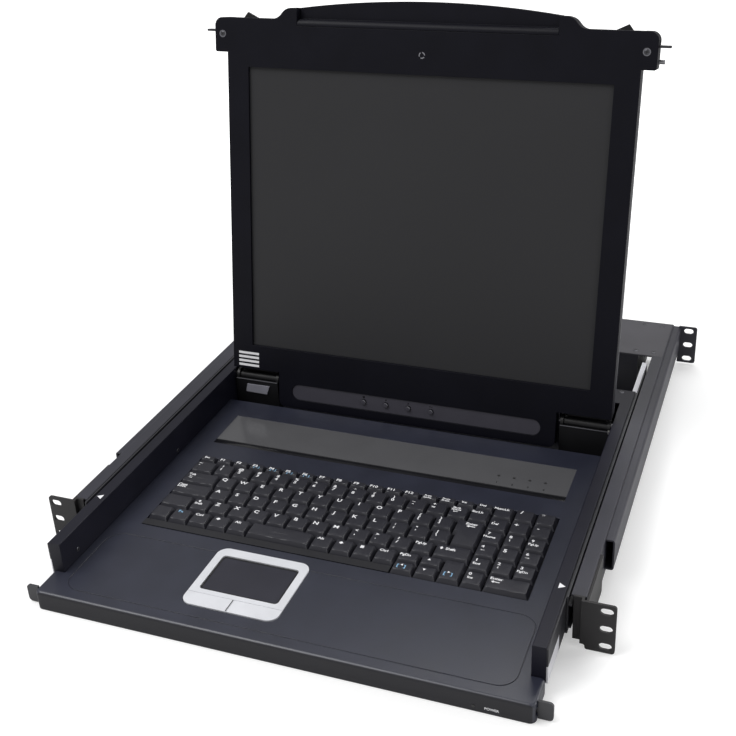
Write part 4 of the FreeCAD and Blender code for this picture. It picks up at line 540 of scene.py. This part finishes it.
SIGNS = {
    "tip_left": [(-1.0, 0.0), (0.7, -1.0), (0.7, 1.0)],
    "tip_right": [(1.0, 0.0), (-0.7, 1.0), (-0.7, -1.0)],
    "tip_up": [(0.0, 1.0), (-1.0, -0.7), (1.0, -0.7)],
    "tip_down": [(0.0, -1.0), (1.0, 0.7), (-1.0, 0.7)],
    "diamond": [(-1.3, 0.0), (0.0, -1.1), (1.3, 0.0), (0.0, 1.1)],
    "menu": [(-1.0, -1.1), (1.0, -1.1), (1.0, 1.1), (-1.0, 1.1)],
    "left_bar": [(-1.6, 0.0), (-0.6, -0.7), (-0.6, -0.2), (1.5, -0.2), (1.5, 0.2), (-0.6, 0.2),
                 (-0.6, 0.7)],
    "right_bar": [(1.6, 0.0), (0.6, 0.7), (0.6, 0.2), (-1.5, 0.2), (-1.5, -0.2), (0.6, -0.2),
                  (0.6, -0.7)],
    "up_bar": [(0.0, 1.2), (-0.7, 0.3), (-0.22, 0.3), (-0.22, -1.2), (0.22, -1.2), (0.22, 0.3),
               (0.7, 0.3)],
    "down_bar": [(0.0, -1.2), (0.7, -0.3), (0.22, -0.3), (0.22, 1.2), (-0.22, 1.2),
                 (-0.22, -0.3), (-0.7, -0.3)],
    "shift": [(0.0, 1.3), (-1.2, 0.0), (-0.6, 0.0), (-0.6, -1.1), (0.6, -1.1), (0.6, 0.0),
              (1.2, 0.0)],
}


def legend(bm, top, mark, size, right, back, ink, dish):
    """Put a word or a sign on a key, from the top face's left rear corner."""
    height = key_surface(top, dish)
    x, y = top[0] + right, top[3] - back

    def surface(u, v):
        return height(u, v) + LEGEND_RISE

    if mark in SIGNS:
        points = [(x + u * size, y + v * size) for u, v in SIGNS[mark]]
        add_shape(bm, [(u, v, surface(u, v)) for u, v in points], ink)
    else:
        middle = Matrix.Translation((x, y, 0))
        add_text(bm, mark, size * TEXT_SIZE, middle, ink, TEXT_STRETCH, surface)


def legends(bm, top, marks, dish=DISH):
    """Put all marks of one key on it."""
    for mark in marks:
        legend(bm, top, *mark, dish)


def label(mark, size=3.0, right=4.6, back=3.0, ink=WHITE_INK):
    """One mark of a key as a list: a word or the name of a sign, its size and its place."""
    return [(mark, size, right, back, ink)]


def letter(mark):
    """A key's one large letter."""
    return label(mark, 4.4, 3.6, 3.2)


def upper(mark):
    """The rear one of a key's two marks."""
    return label(mark, 3.5, 3.4, 2.5)


def two(rear, front):
    """Two marks, one behind the other."""
    return upper(rear) + label(front, 3.8, 3.4, 7.0)


def words(rear, front, size=2.5):
    """Two small words, one behind the other."""
    return label(rear, size, 4.8, 2.2) + label(front, size, 4.8, 4.8)


# The marks of each row, from the left; a bare key has an empty list

FUNCTION = [label("Esc", 2.7, 4.4, 2.3)]
FUNCTION += [label(f"F{n}", 3.5, 4.0, 2.5) for n in range(1, 13)]
FUNCTION += [words("PrtSc", "SysRq", 2.1), words("Pause", "Break", 2.1),
             label("Ins", 2.7, 4.4, 2.4), label("Del", 2.7, 4.4, 2.4)]
for key in range(3, 7):
    FUNCTION[key] += label("[ • ]", 2.6, 6.2, 4.4, BLUE_INK)
NUMBER = [two("~", "`")] + [two(a, b) for a, b in zip("!@#$%^&*()_+", "1234567890-=")]
NUMBER += [words("Back", "Space") + label("left_bar", 1.4, 4.8, 7.6), label("ScrLk")]
UPPER = [label("Tab", 3.0, 5.2, 3.4) + label("left_bar", 1.1, 5.2, 6.6)
         + label("right_bar", 1.1, 5.2, 8.6)]
UPPER += [letter(a) for a in "QWERTYUIOP"] + [two("{", "["), two("}", "]")]
HOME = [words("Caps", "Lock", 3.0)] + [letter(a) for a in "ASDFGHJKL"]
HOME += [two(":", ";"), two('"', "'"), two("|", "\\")]
LOWER = [[], label("shift", 1.2, 4.2, 2.8) + label("Shift", 2.8, 4.6, 6.4)]
LOWER += [letter(a) for a in "ZXCVBNM"] + [two("<", ","), two(">", "."), two("?", "/")]
LOWER += [label("PgUp"), label("shift", 1.4, 4.0, 4.4) + label("Shift", 3.2, 11.5, 4.4)]
DIAMOND = label("diamond", 1.6, 4.4, 3.6)
BOTTOM_LEFT = [[], label("Fn", 3.2, 5.0, 3.2, BLUE_INK), label("Ctrl"), DIAMOND, label("Alt")]
BOTTOM_RIGHT = [label("Alt"), DIAMOND, label("menu", 1.5, 4.4, 3.6), label("Ctrl")]
PAD_ROWS = [
    [upper("0") + label("Ins", 2.8, 4.4, 7.0),
     label("Enter", 3.2, 6.4, 3.0) + label("left_bar", 2.2, 6.4, 6.8)],
    [upper("1") + label("End", 2.8, 4.4, 7.0), upper("2") + label("down_bar", 1.1, 3.4, 7.0),
     upper("3") + label("PgDn", 2.8, 4.8, 7.0)],
    [upper("4") + label("left_bar", 1.1, 4.2, 7.0), letter("5"),
     upper("6") + label("right_bar", 1.1, 4.2, 7.0)],
    [upper("7") + label("Home", 2.8, 4.8, 7.0), upper("8") + label("up_bar", 1.1, 3.4, 7.0),
     upper("9") + label("PgUp", 2.8, 4.8, 7.0)],
    [upper(".") + label("Del", 2.8, 4.4, 6.6), letter("+"), letter("-")],
    [label("NumLk"), letter("/"), letter("*")],
]

# The small arrow keys by column and row, and the tall one at the right
ARROW_MARKS = {
    (0, 1): label("PgDn", 2.9),
    (0, 0): label("tip_left", 1.2, 6.0, 2.6) + label("[   ]", 3.6, 6.0, 4.4, BLUE_INK),
    (1, 1): label("tip_up", 1.4, 5.6, 3.2),
    (1, 0): label("tip_down", 1.4, 5.6, 3.2),
}
RIGHT_ARROW_MARKS = (label("tip_right", 1.2, 6.0, 14.0)
                     + label("[   ]", 3.6, 6.0, 16.2, BLUE_INK))
ENTER_MARKS = label("Enter", 3.2, 12.0, 3.4) + label("left_bar", 2.4, 12.0, 6.6)


def key_group(name, cells):
    """Build the caps and the legends of one group of keys: cells hold limits and marks."""
    caps, printed = bmesh.new(), bmesh.new()
    for limits, marks in cells:
        legends(printed, keycap(caps, *limits), marks)
    piece(f"{name}_caps", caps, TRAY, [KEYS], name, replaces=(name,))
    if len(printed.verts):
        piece(f"{name}_legends", printed, TRAY, [WHITE, BLUE], name,
              smooth=False)


def row_cells(left, widths, front, depth, row_marks):
    """Limits and marks of the keys of a row, from its left end."""
    cells = []
    for width, marks in zip(widths, row_marks):
        cells.append(((left, left + width, front, front + depth), marks))
        left += width
    return cells


def main_block():
    """The rows over the bottom row, and the bottom row with the space bar."""
    last_lower = KEY_WIDTH - FIRST_LOWER_WIDTH - PITCH * 12
    rows = {
        "keys_function": (5, [KEY_WIDTH / 17] * 17, FUNCTION, KEYS_REAR - MAIN_FRONT - 5 * ROW),
        "keys_number": (4, [TILDE_WIDTH] + [PITCH] * 14, NUMBER, ROW),
        "keys_upper": (3, [TAB_WIDTH] + [PITCH] * 12, UPPER, ROW),
        "keys_home": (2, [CAPS_WIDTH] + [PITCH] * 12, HOME, ROW),
        "keys_lower": (1, [FIRST_LOWER_WIDTH] + [PITCH] * 12 + [last_lower], LOWER, ROW),
    }
    for name, (row, widths, row_marks, depth) in rows.items():
        key_group(name, row_cells(KEY_LEFT, widths, MAIN_FRONT + ROW * row, depth, row_marks))
    space_left, space_right = KEY_LEFT + 5 * PITCH, ARROWS_LEFT - 4 * PITCH
    bottom = row_cells(KEY_LEFT, [PITCH] * 5, MAIN_FRONT, ROW, BOTTOM_LEFT)
    bottom += row_cells(space_right, [PITCH] * 4, MAIN_FRONT, ROW, BOTTOM_RIGHT)
    key_group("keys_bottom", bottom)
    key_group("space_bar", [((space_left, space_right, MAIN_FRONT, MAIN_FRONT + ROW), [])])


def arrow_block():
    """Two columns of two short keys, and the tall right arrow."""
    cells = []
    for (column, row), marks in ARROW_MARKS.items():
        left, front = ARROWS_LEFT + column * ARROW, PAD_FRONT + row * HALF_ROW
        cells.append(((left, left + ARROW, front, front + HALF_ROW), marks))
    left = ARROWS_LEFT + 2 * ARROW
    limits = (left, left + ARROW, PAD_FRONT, PAD_FRONT + 2 * HALF_ROW)
    key_group("keys_arrows", cells + [(limits, RIGHT_ARROW_MARKS)])


def number_pad():
    """Six rows, of which the first has a double key at the right."""
    cells = []
    for row, row_marks in enumerate(PAD_ROWS):
        widths = [PAD_PITCH] * 3 if row else [PAD_PITCH, PAD_PITCH * 2]
        cells += row_cells(PAD_LEFT, widths, PAD_FRONT + ROW * row, ROW, row_marks)
    key_group("keys_numpad", cells)


def enter_key():
    """The stepped Enter key, whose top is flat."""
    caps, printed = bmesh.new(), bmesh.new()
    legends(printed, tall_enter(caps), ENTER_MARKS, 0.0)
    piece("enter_key_caps", caps, TRAY, [KEYS], "enter_key",
          replaces=("enter_key",))
    piece("enter_key_legends", printed, TRAY, [WHITE], "enter_key",
          smooth=False)


# Screws

EAR_SCREWS = ((-194.7, 299.3), (193.4, 297.6))
CHANNEL_SCREWS = ((48.9, 24.2), (212.5, 20.1))


def fasteners():
    """Screws of the lid's ears, the side channels, the rear cover and the cross cover."""
    ears = [(x, -10.95, z) for x, z in EAR_SCREWS]
    screws("lid_screws", ears, (0, -1, 0), 2.1, LID, "lid")
    for side, name in SIDES:
        spots = [(side * 190.95, y, z) for y, z in CHANNEL_SCREWS]
        screws(f"channel_screws_{name}", spots, (-side, 0, 0), 2.0, TRAY, "drawer")
    cover = [(x * side, y, CHANNEL_TOP) for x in (188, 205.8) for y in (400.5, 462)
             for side in (-1, 1)]
    cover += [(0, 400.5, CHANNEL_TOP), (0, 462, CHANNEL_TOP)]
    screws("cover_screws", cover, (0, 0, 1), 2.4, RACK, "chassis")
    plate = [(x, 393.4, CHANNEL_TOP) for x in (-189.3, -95, 95, 189.3)]
    screws("plate_screws", plate, (0, 0, 1), 2.2, TRAY, "drawer")


# Flat print

def channel_marks():
    """A printed triangle on each side channel, pointing outwards."""
    x, y, z = 196.6, 96.0, CHANNEL_TOP + PRINT
    for side, name in SIDES:
        bm = bmesh.new()
        add_shape(bm, [(side * (x + 3.1), y, z), (side * (x - 1.9), y + 3.1, z),
                       (side * (x - 1.9), y - 3.1, z)][::side])
        piece(f"channel_mark_{name}", bm, TRAY, [WHITE], "drawer", smooth=False)


def tray_print():
    """The word on the front bar and the numerals by the four lamps."""
    bm = bmesh.new()
    front = Matrix.Translation((170.4, -PRINT, 4.3)) @ Matrix.Rotation(math.pi / 2, 4, "X")
    add_text(bm, "POWER", 3.0, front)
    piece("power_word", bm, TRAY, [WHITE], "drawer", smooth=False)
    bm = bmesh.new()
    for step, numeral in enumerate("1234"):
        place = Matrix.Translation((105.4 + 14.0 * step, 251.5, STRIP_TOP + PRINT))
        add_text(bm, numeral, 3.4, place)
    piece("lamp_marks", bm, TRAY, [GLOSS], "drawer", smooth=False)


def lid_print():
    """Four plain bars in the lid's lower left corner, and three arcs at its top."""
    y = BEZEL_FRONT - PRINT
    left, right, first, pitch, height = -184.0, -162.0, -22.6, 4.2, 2.4
    bm = bmesh.new()
    for row in range(4):
        low = first + row * pitch
        add_shape(bm, [(left, y, low), (right, y, low), (right, y, low + height),
                       (left, y, low + height)])
    piece("corner_mark", bm, LID, [WHITE], "lid", smooth=False)
    outer, inner, middle, span, steps = 2.9, 2.0, 287.3, 1.5, 6
    bm = bmesh.new()
    for start in (0.0, 2.1, 4.2):
        arc = [start + span * i / steps for i in range(steps + 1)]
        for a, b in zip(arc, arc[1:]):
            add_shape(bm, [lid_point(0.0, y, middle, r, angle) for r, angle in
                           ((outer, a), (outer, b), (inner, b), (inner, a))])
    piece("round_mark", bm, LID, [GREY], "lid", smooth=False)


# Thin trim, with painted shade and painted highlights

def strip_band():
    """The dark band along the status strip: a black piece as painted shade in the gap in front of
    the strip.
    """
    bm = bmesh.new()
    box(bm, (-168.2, 240.3, 15.05), (168.2, 246.8, 15.9), 0.2)
    piece("strip_band", bm, TRAY, [GLOSS], "drawer")


def button_signs():
    """The signs over the four control buttons."""
    y, z = BAR_FLOOR - PRINT, -38.2
    bm = bmesh.new()
    for step, sign in enumerate(("menu", "tip_down", "tip_up", "left_bar")):
        x = BUTTON_FIRST + BUTTON_PITCH * step
        add_shape(bm, [(x + u * 1.15, y, z + v * 1.05) for u, v in SIGNS[sign]])
    piece("button_signs", bm, LID, [GLOSS], "lid", smooth=False)


def button_faces():
    """The buttons' domed faces, each with a grey crescent at its rim, a painted highlight."""
    dome = ((2.46, -11.5), (2.46, -11.64), (2.1, -11.72), (1.1, -11.76))
    rim, thick, crescent_y, steps = 2.4, 0.7, -11.78, 12
    angles = [math.radians(140 * i / steps - 10) for i in range(steps + 1)]
    inner = [rim - thick * math.sin(math.pi * i / steps) for i in range(steps + 1)]
    for step in range(4):
        x = BUTTON_FIRST + BUTTON_PITCH * step
        bm = bmesh.new()
        loft(bm, [[lid_point(x, y, BUTTON_Z, r, a) for a in round_angles(28)] for r, y in dome],
             close_low=False)
        for a, b, inner_a, inner_b in zip(angles, angles[1:], inner, inner[1:]):
            add_shape(bm, [lid_point(x, crescent_y, BUTTON_Z, r, angle) for r, angle in
                           ((rim, a), (rim, b), (inner_b, b), (inner_a, a))], 1)
        piece(f"button_face_{step + 1}", bm, LID, [PLATE, GREY], f"menu_{step + 1}")


def channel_feet():
    """Dark plates that close the channels' front caps down to the deck."""
    for side, name in SIDES:
        low, high = sorted((side * 192.3, side * 200.2))
        bm = bmesh.new()
        box(bm, (low, 28.05, 13.4), (high, 29.15, 16.6), 0.15)
        piece(f"channel_foot_{name}", bm, TRAY, [SHEET], "drawer")


def hinge_trims():
    """Light edges of the hinge plates as painted highlights, the pin's silver end and the grey tab
    at the left.
    """
    for side, name in SIDES:
        low, high = sorted((side * 143.4, side * 188.4))
        bm = bmesh.new()
        box(bm, (low, 331.7, 34.5), (high, 332.5, 35.1), 0.15)
        piece(f"hinge_highlight_{name}", bm, TRAY, [EDGE], "drawer")
    bm = bmesh.new()
    box(bm, (187.6, 330.4, 33.4), (190.4, 331.6, 37.4), 0.3)
    box(bm, (188.6, 330.2, 31.4), (190.2, 331.6, 33.0), 0.3)
    piece("hinge_cap", bm, TRAY, [NICKEL], "drawer")
    front, back = 331.0, 331.9
    outline = ((-176.5, 29.9), (-152, 30.2), (-155.5, 20.8), (-178.5, 21.3))
    bm = bmesh.new()
    loft(bm, [[(x, y, z) for x, z in outline] for y in (front, back)])
    piece("hinge_tab", bm, TRAY, [TAB], "drawer", smooth=False)


def ear_rings():
    """The pale rings round the screws in the lid's ears."""
    outer, inner, raised = 3.3, 2.3, BEZEL_FRONT - 0.2
    profile = ((outer, BEZEL_FRONT), (outer, raised), (inner, raised), (inner, BEZEL_FRONT))
    bm = bmesh.new()
    for x, z in EAR_SCREWS:
        loft(bm, [[lid_point(x, y, z, r, a) for a in round_angles(24)] for r, y in profile],
             close_low=False, close_high=False)
    piece("ear_rings", bm, LID, [EDGE], "lid")


def pad_shade_trims():
    """The dark line between the touchpad's buttons, and the dark edge round its plate: both
    painted shade, in the gap and in the sunken border.
    """
    bm = bmesh.new()
    box(bm, (-44.75, 23.4, 17.42), (-44.0, 36.7, 17.5), 0.03)
    piece("pad_shade_line", bm, TRAY, [BLACK], "pad_button_left")
    outer = rounded_loop(-76.8, -10.2, 42.6, 84.7, 3.0)
    inner = rounded_loop(-75.6, -11.4, 43.8, 83.5, 2.2)
    profile = ((outer, 16.42), (outer, 16.75), (inner, 16.6), (inner, 16.42))
    bm = bmesh.new()
    loft(bm, [[(x, y, z) for x, y in loop] for loop, z in profile],
         close_low=False, close_high=False)
    piece("pad_shade_edge", bm, TRAY, [BLACK], "drawer")


main_block()
arrow_block()
number_pad()
enter_key()
fasteners()
channel_marks()
tray_print()
lid_print()
strip_band()
button_signs()
button_faces()
channel_feet()
hinge_trims()
ear_rings()
pad_shade_trims()


# Camera, lights and floor

# The fitted camera: its focal length and centre in the photo's pixels, its sensor in mm
PHOTO_SIZE, SENSOR = 736.0, 36.0
FOCAL, CENTRE_X, CENTRE_Y = 1144.90, 384.17, 344.31

# Name, place, target, size and power of each lamp
LAMPS = (
    ("key", (-0.9, -0.5, 1.9), (0, 0.1, 0.0), (1.5, 1.2), 34),
    ("fill", (1.6, -0.6, 1.3), (0, 0.1, 0.0), (1.0, 1.0), 6),
    ("rim", (0.2, 1.4, 1.6), (0, 0.1, 0.0), (1.4, 0.8), 14),
    ("side", (1.9, 0.9, 0.5), (0.2, 0.2, 0.0), (0.8, 0.8), 14),
)


def camera():
    """The camera that was fitted to the photo."""
    eye = Vector((0.32559, -0.64892, 0.56222))
    yaw, pitch, roll = -0.3735, 0.4698, -0.0454
    ahead = Vector((math.sin(yaw) * math.cos(pitch), math.cos(yaw) * math.cos(pitch),
                    -math.sin(pitch)))
    level = Vector((math.cos(yaw), -math.sin(yaw), 0.0))
    upright = level.cross(ahead)
    right = level * math.cos(roll) + upright * math.sin(roll)
    up = upright * math.cos(roll) - level * math.sin(roll)
    data = bpy.data.cameras.new("camera")
    data.sensor_width = SENSOR
    data.lens = FOCAL / PHOTO_SIZE * SENSOR
    data.shift_x = -(CENTRE_X - PHOTO_SIZE / 2) / PHOTO_SIZE
    data.shift_y = (CENTRE_Y - PHOTO_SIZE / 2) / PHOTO_SIZE
    data.clip_start = 0.01
    obj = bpy.data.objects.new("camera", data)
    obj.matrix_world = Matrix.Translation(eye) @ Matrix((right, up, -ahead)).transposed().to_4x4()
    bpy.context.scene.collection.objects.link(obj)
    bpy.context.scene.camera = obj


def area_light(name, where, target, size, power):
    """A rectangular lamp that faces its target."""
    data = bpy.data.lights.new(name, "AREA")
    data.shape = "RECTANGLE"
    data.size, data.size_y = size
    data.energy = power
    obj = bpy.data.objects.new(name, data)
    obj.location = where
    obj.rotation_euler = (Vector(target) - Vector(where)).to_track_quat("-Z", "Y").to_euler()
    bpy.context.scene.collection.objects.link(obj)


def pale_floor():
    """A floor that looks white from afar; near the part its glow is turned down as painted shade,
    so that the part's shadow shows there.
    """
    bm = bmesh.new()
    bmesh.ops.create_grid(bm, x_segments=1, y_segments=1, size=6.0)
    mesh = bpy.data.meshes.new("floor")
    bm.to_mesh(mesh)
    bm.free()
    floor = bpy.data.objects.new("floor", mesh)
    floor.location = (0, 0, FLOOR)
    bpy.context.scene.collection.objects.link(floor)
    mat = bpy.data.materials.new("floor")
    mat.use_nodes = True
    tree = mat.node_tree
    shader = tree.nodes["Principled BSDF"]
    shader.inputs["Base Color"].default_value = (0.72, 0.72, 0.72, 1)
    shader.inputs["Roughness"].default_value = 0.9
    shader.inputs["Emission Color"].default_value = (1, 1, 1, 1)
    path = tree.nodes.new("ShaderNodeLightPath")
    place = tree.nodes.new("ShaderNodeNewGeometry")
    away = tree.nodes.new("ShaderNodeVectorMath")
    away.operation = "DISTANCE"
    away.inputs[1].default_value = (0.0, 0.15, FLOOR)
    tree.links.new(place.outputs["Position"], away.inputs[0])
    fade = tree.nodes.new("ShaderNodeMapRange")
    fade.interpolation_type = "SMOOTHSTEP"
    fade.inputs["From Min"].default_value = 0.30
    fade.inputs["From Max"].default_value = 0.85
    fade.inputs["To Min"].default_value = 0.34
    fade.inputs["To Max"].default_value = 0.95
    tree.links.new(away.outputs["Value"], fade.inputs["Value"])
    glow = calc(tree, "MULTIPLY", path.outputs["Is Camera Ray"], fade.outputs["Result"])
    tree.links.new(glow, shader.inputs["Emission Strength"])
    mesh.materials.append(mat)


def backdrop():
    """A world that the camera sees as white and that lights the part more dimly."""
    world = bpy.data.worlds.new("world")
    bpy.context.scene.world = world
    world.use_nodes = True
    tree = world.node_tree
    tree.nodes.clear()
    out = tree.nodes.new("ShaderNodeOutputWorld")
    mix = tree.nodes.new("ShaderNodeMixShader")
    dim = tree.nodes.new("ShaderNodeBackground")
    white = tree.nodes.new("ShaderNodeBackground")
    dim.inputs["Strength"].default_value = 0.45
    white.inputs["Color"].default_value = (1, 1, 1, 1)
    white.inputs["Strength"].default_value = 1.0
    path = tree.nodes.new("ShaderNodeLightPath")
    tree.links.new(path.outputs["Is Camera Ray"], mix.inputs["Fac"])
    tree.links.new(dim.outputs[0], mix.inputs[1])
    tree.links.new(white.outputs[0], mix.inputs[2])
    tree.links.new(mix.outputs[0], out.inputs[0])


camera()
pale_floor()
backdrop()
for lamp in LAMPS:
    area_light(*lamp)
bpy.context.scene.view_settings.view_transform = "Standard"
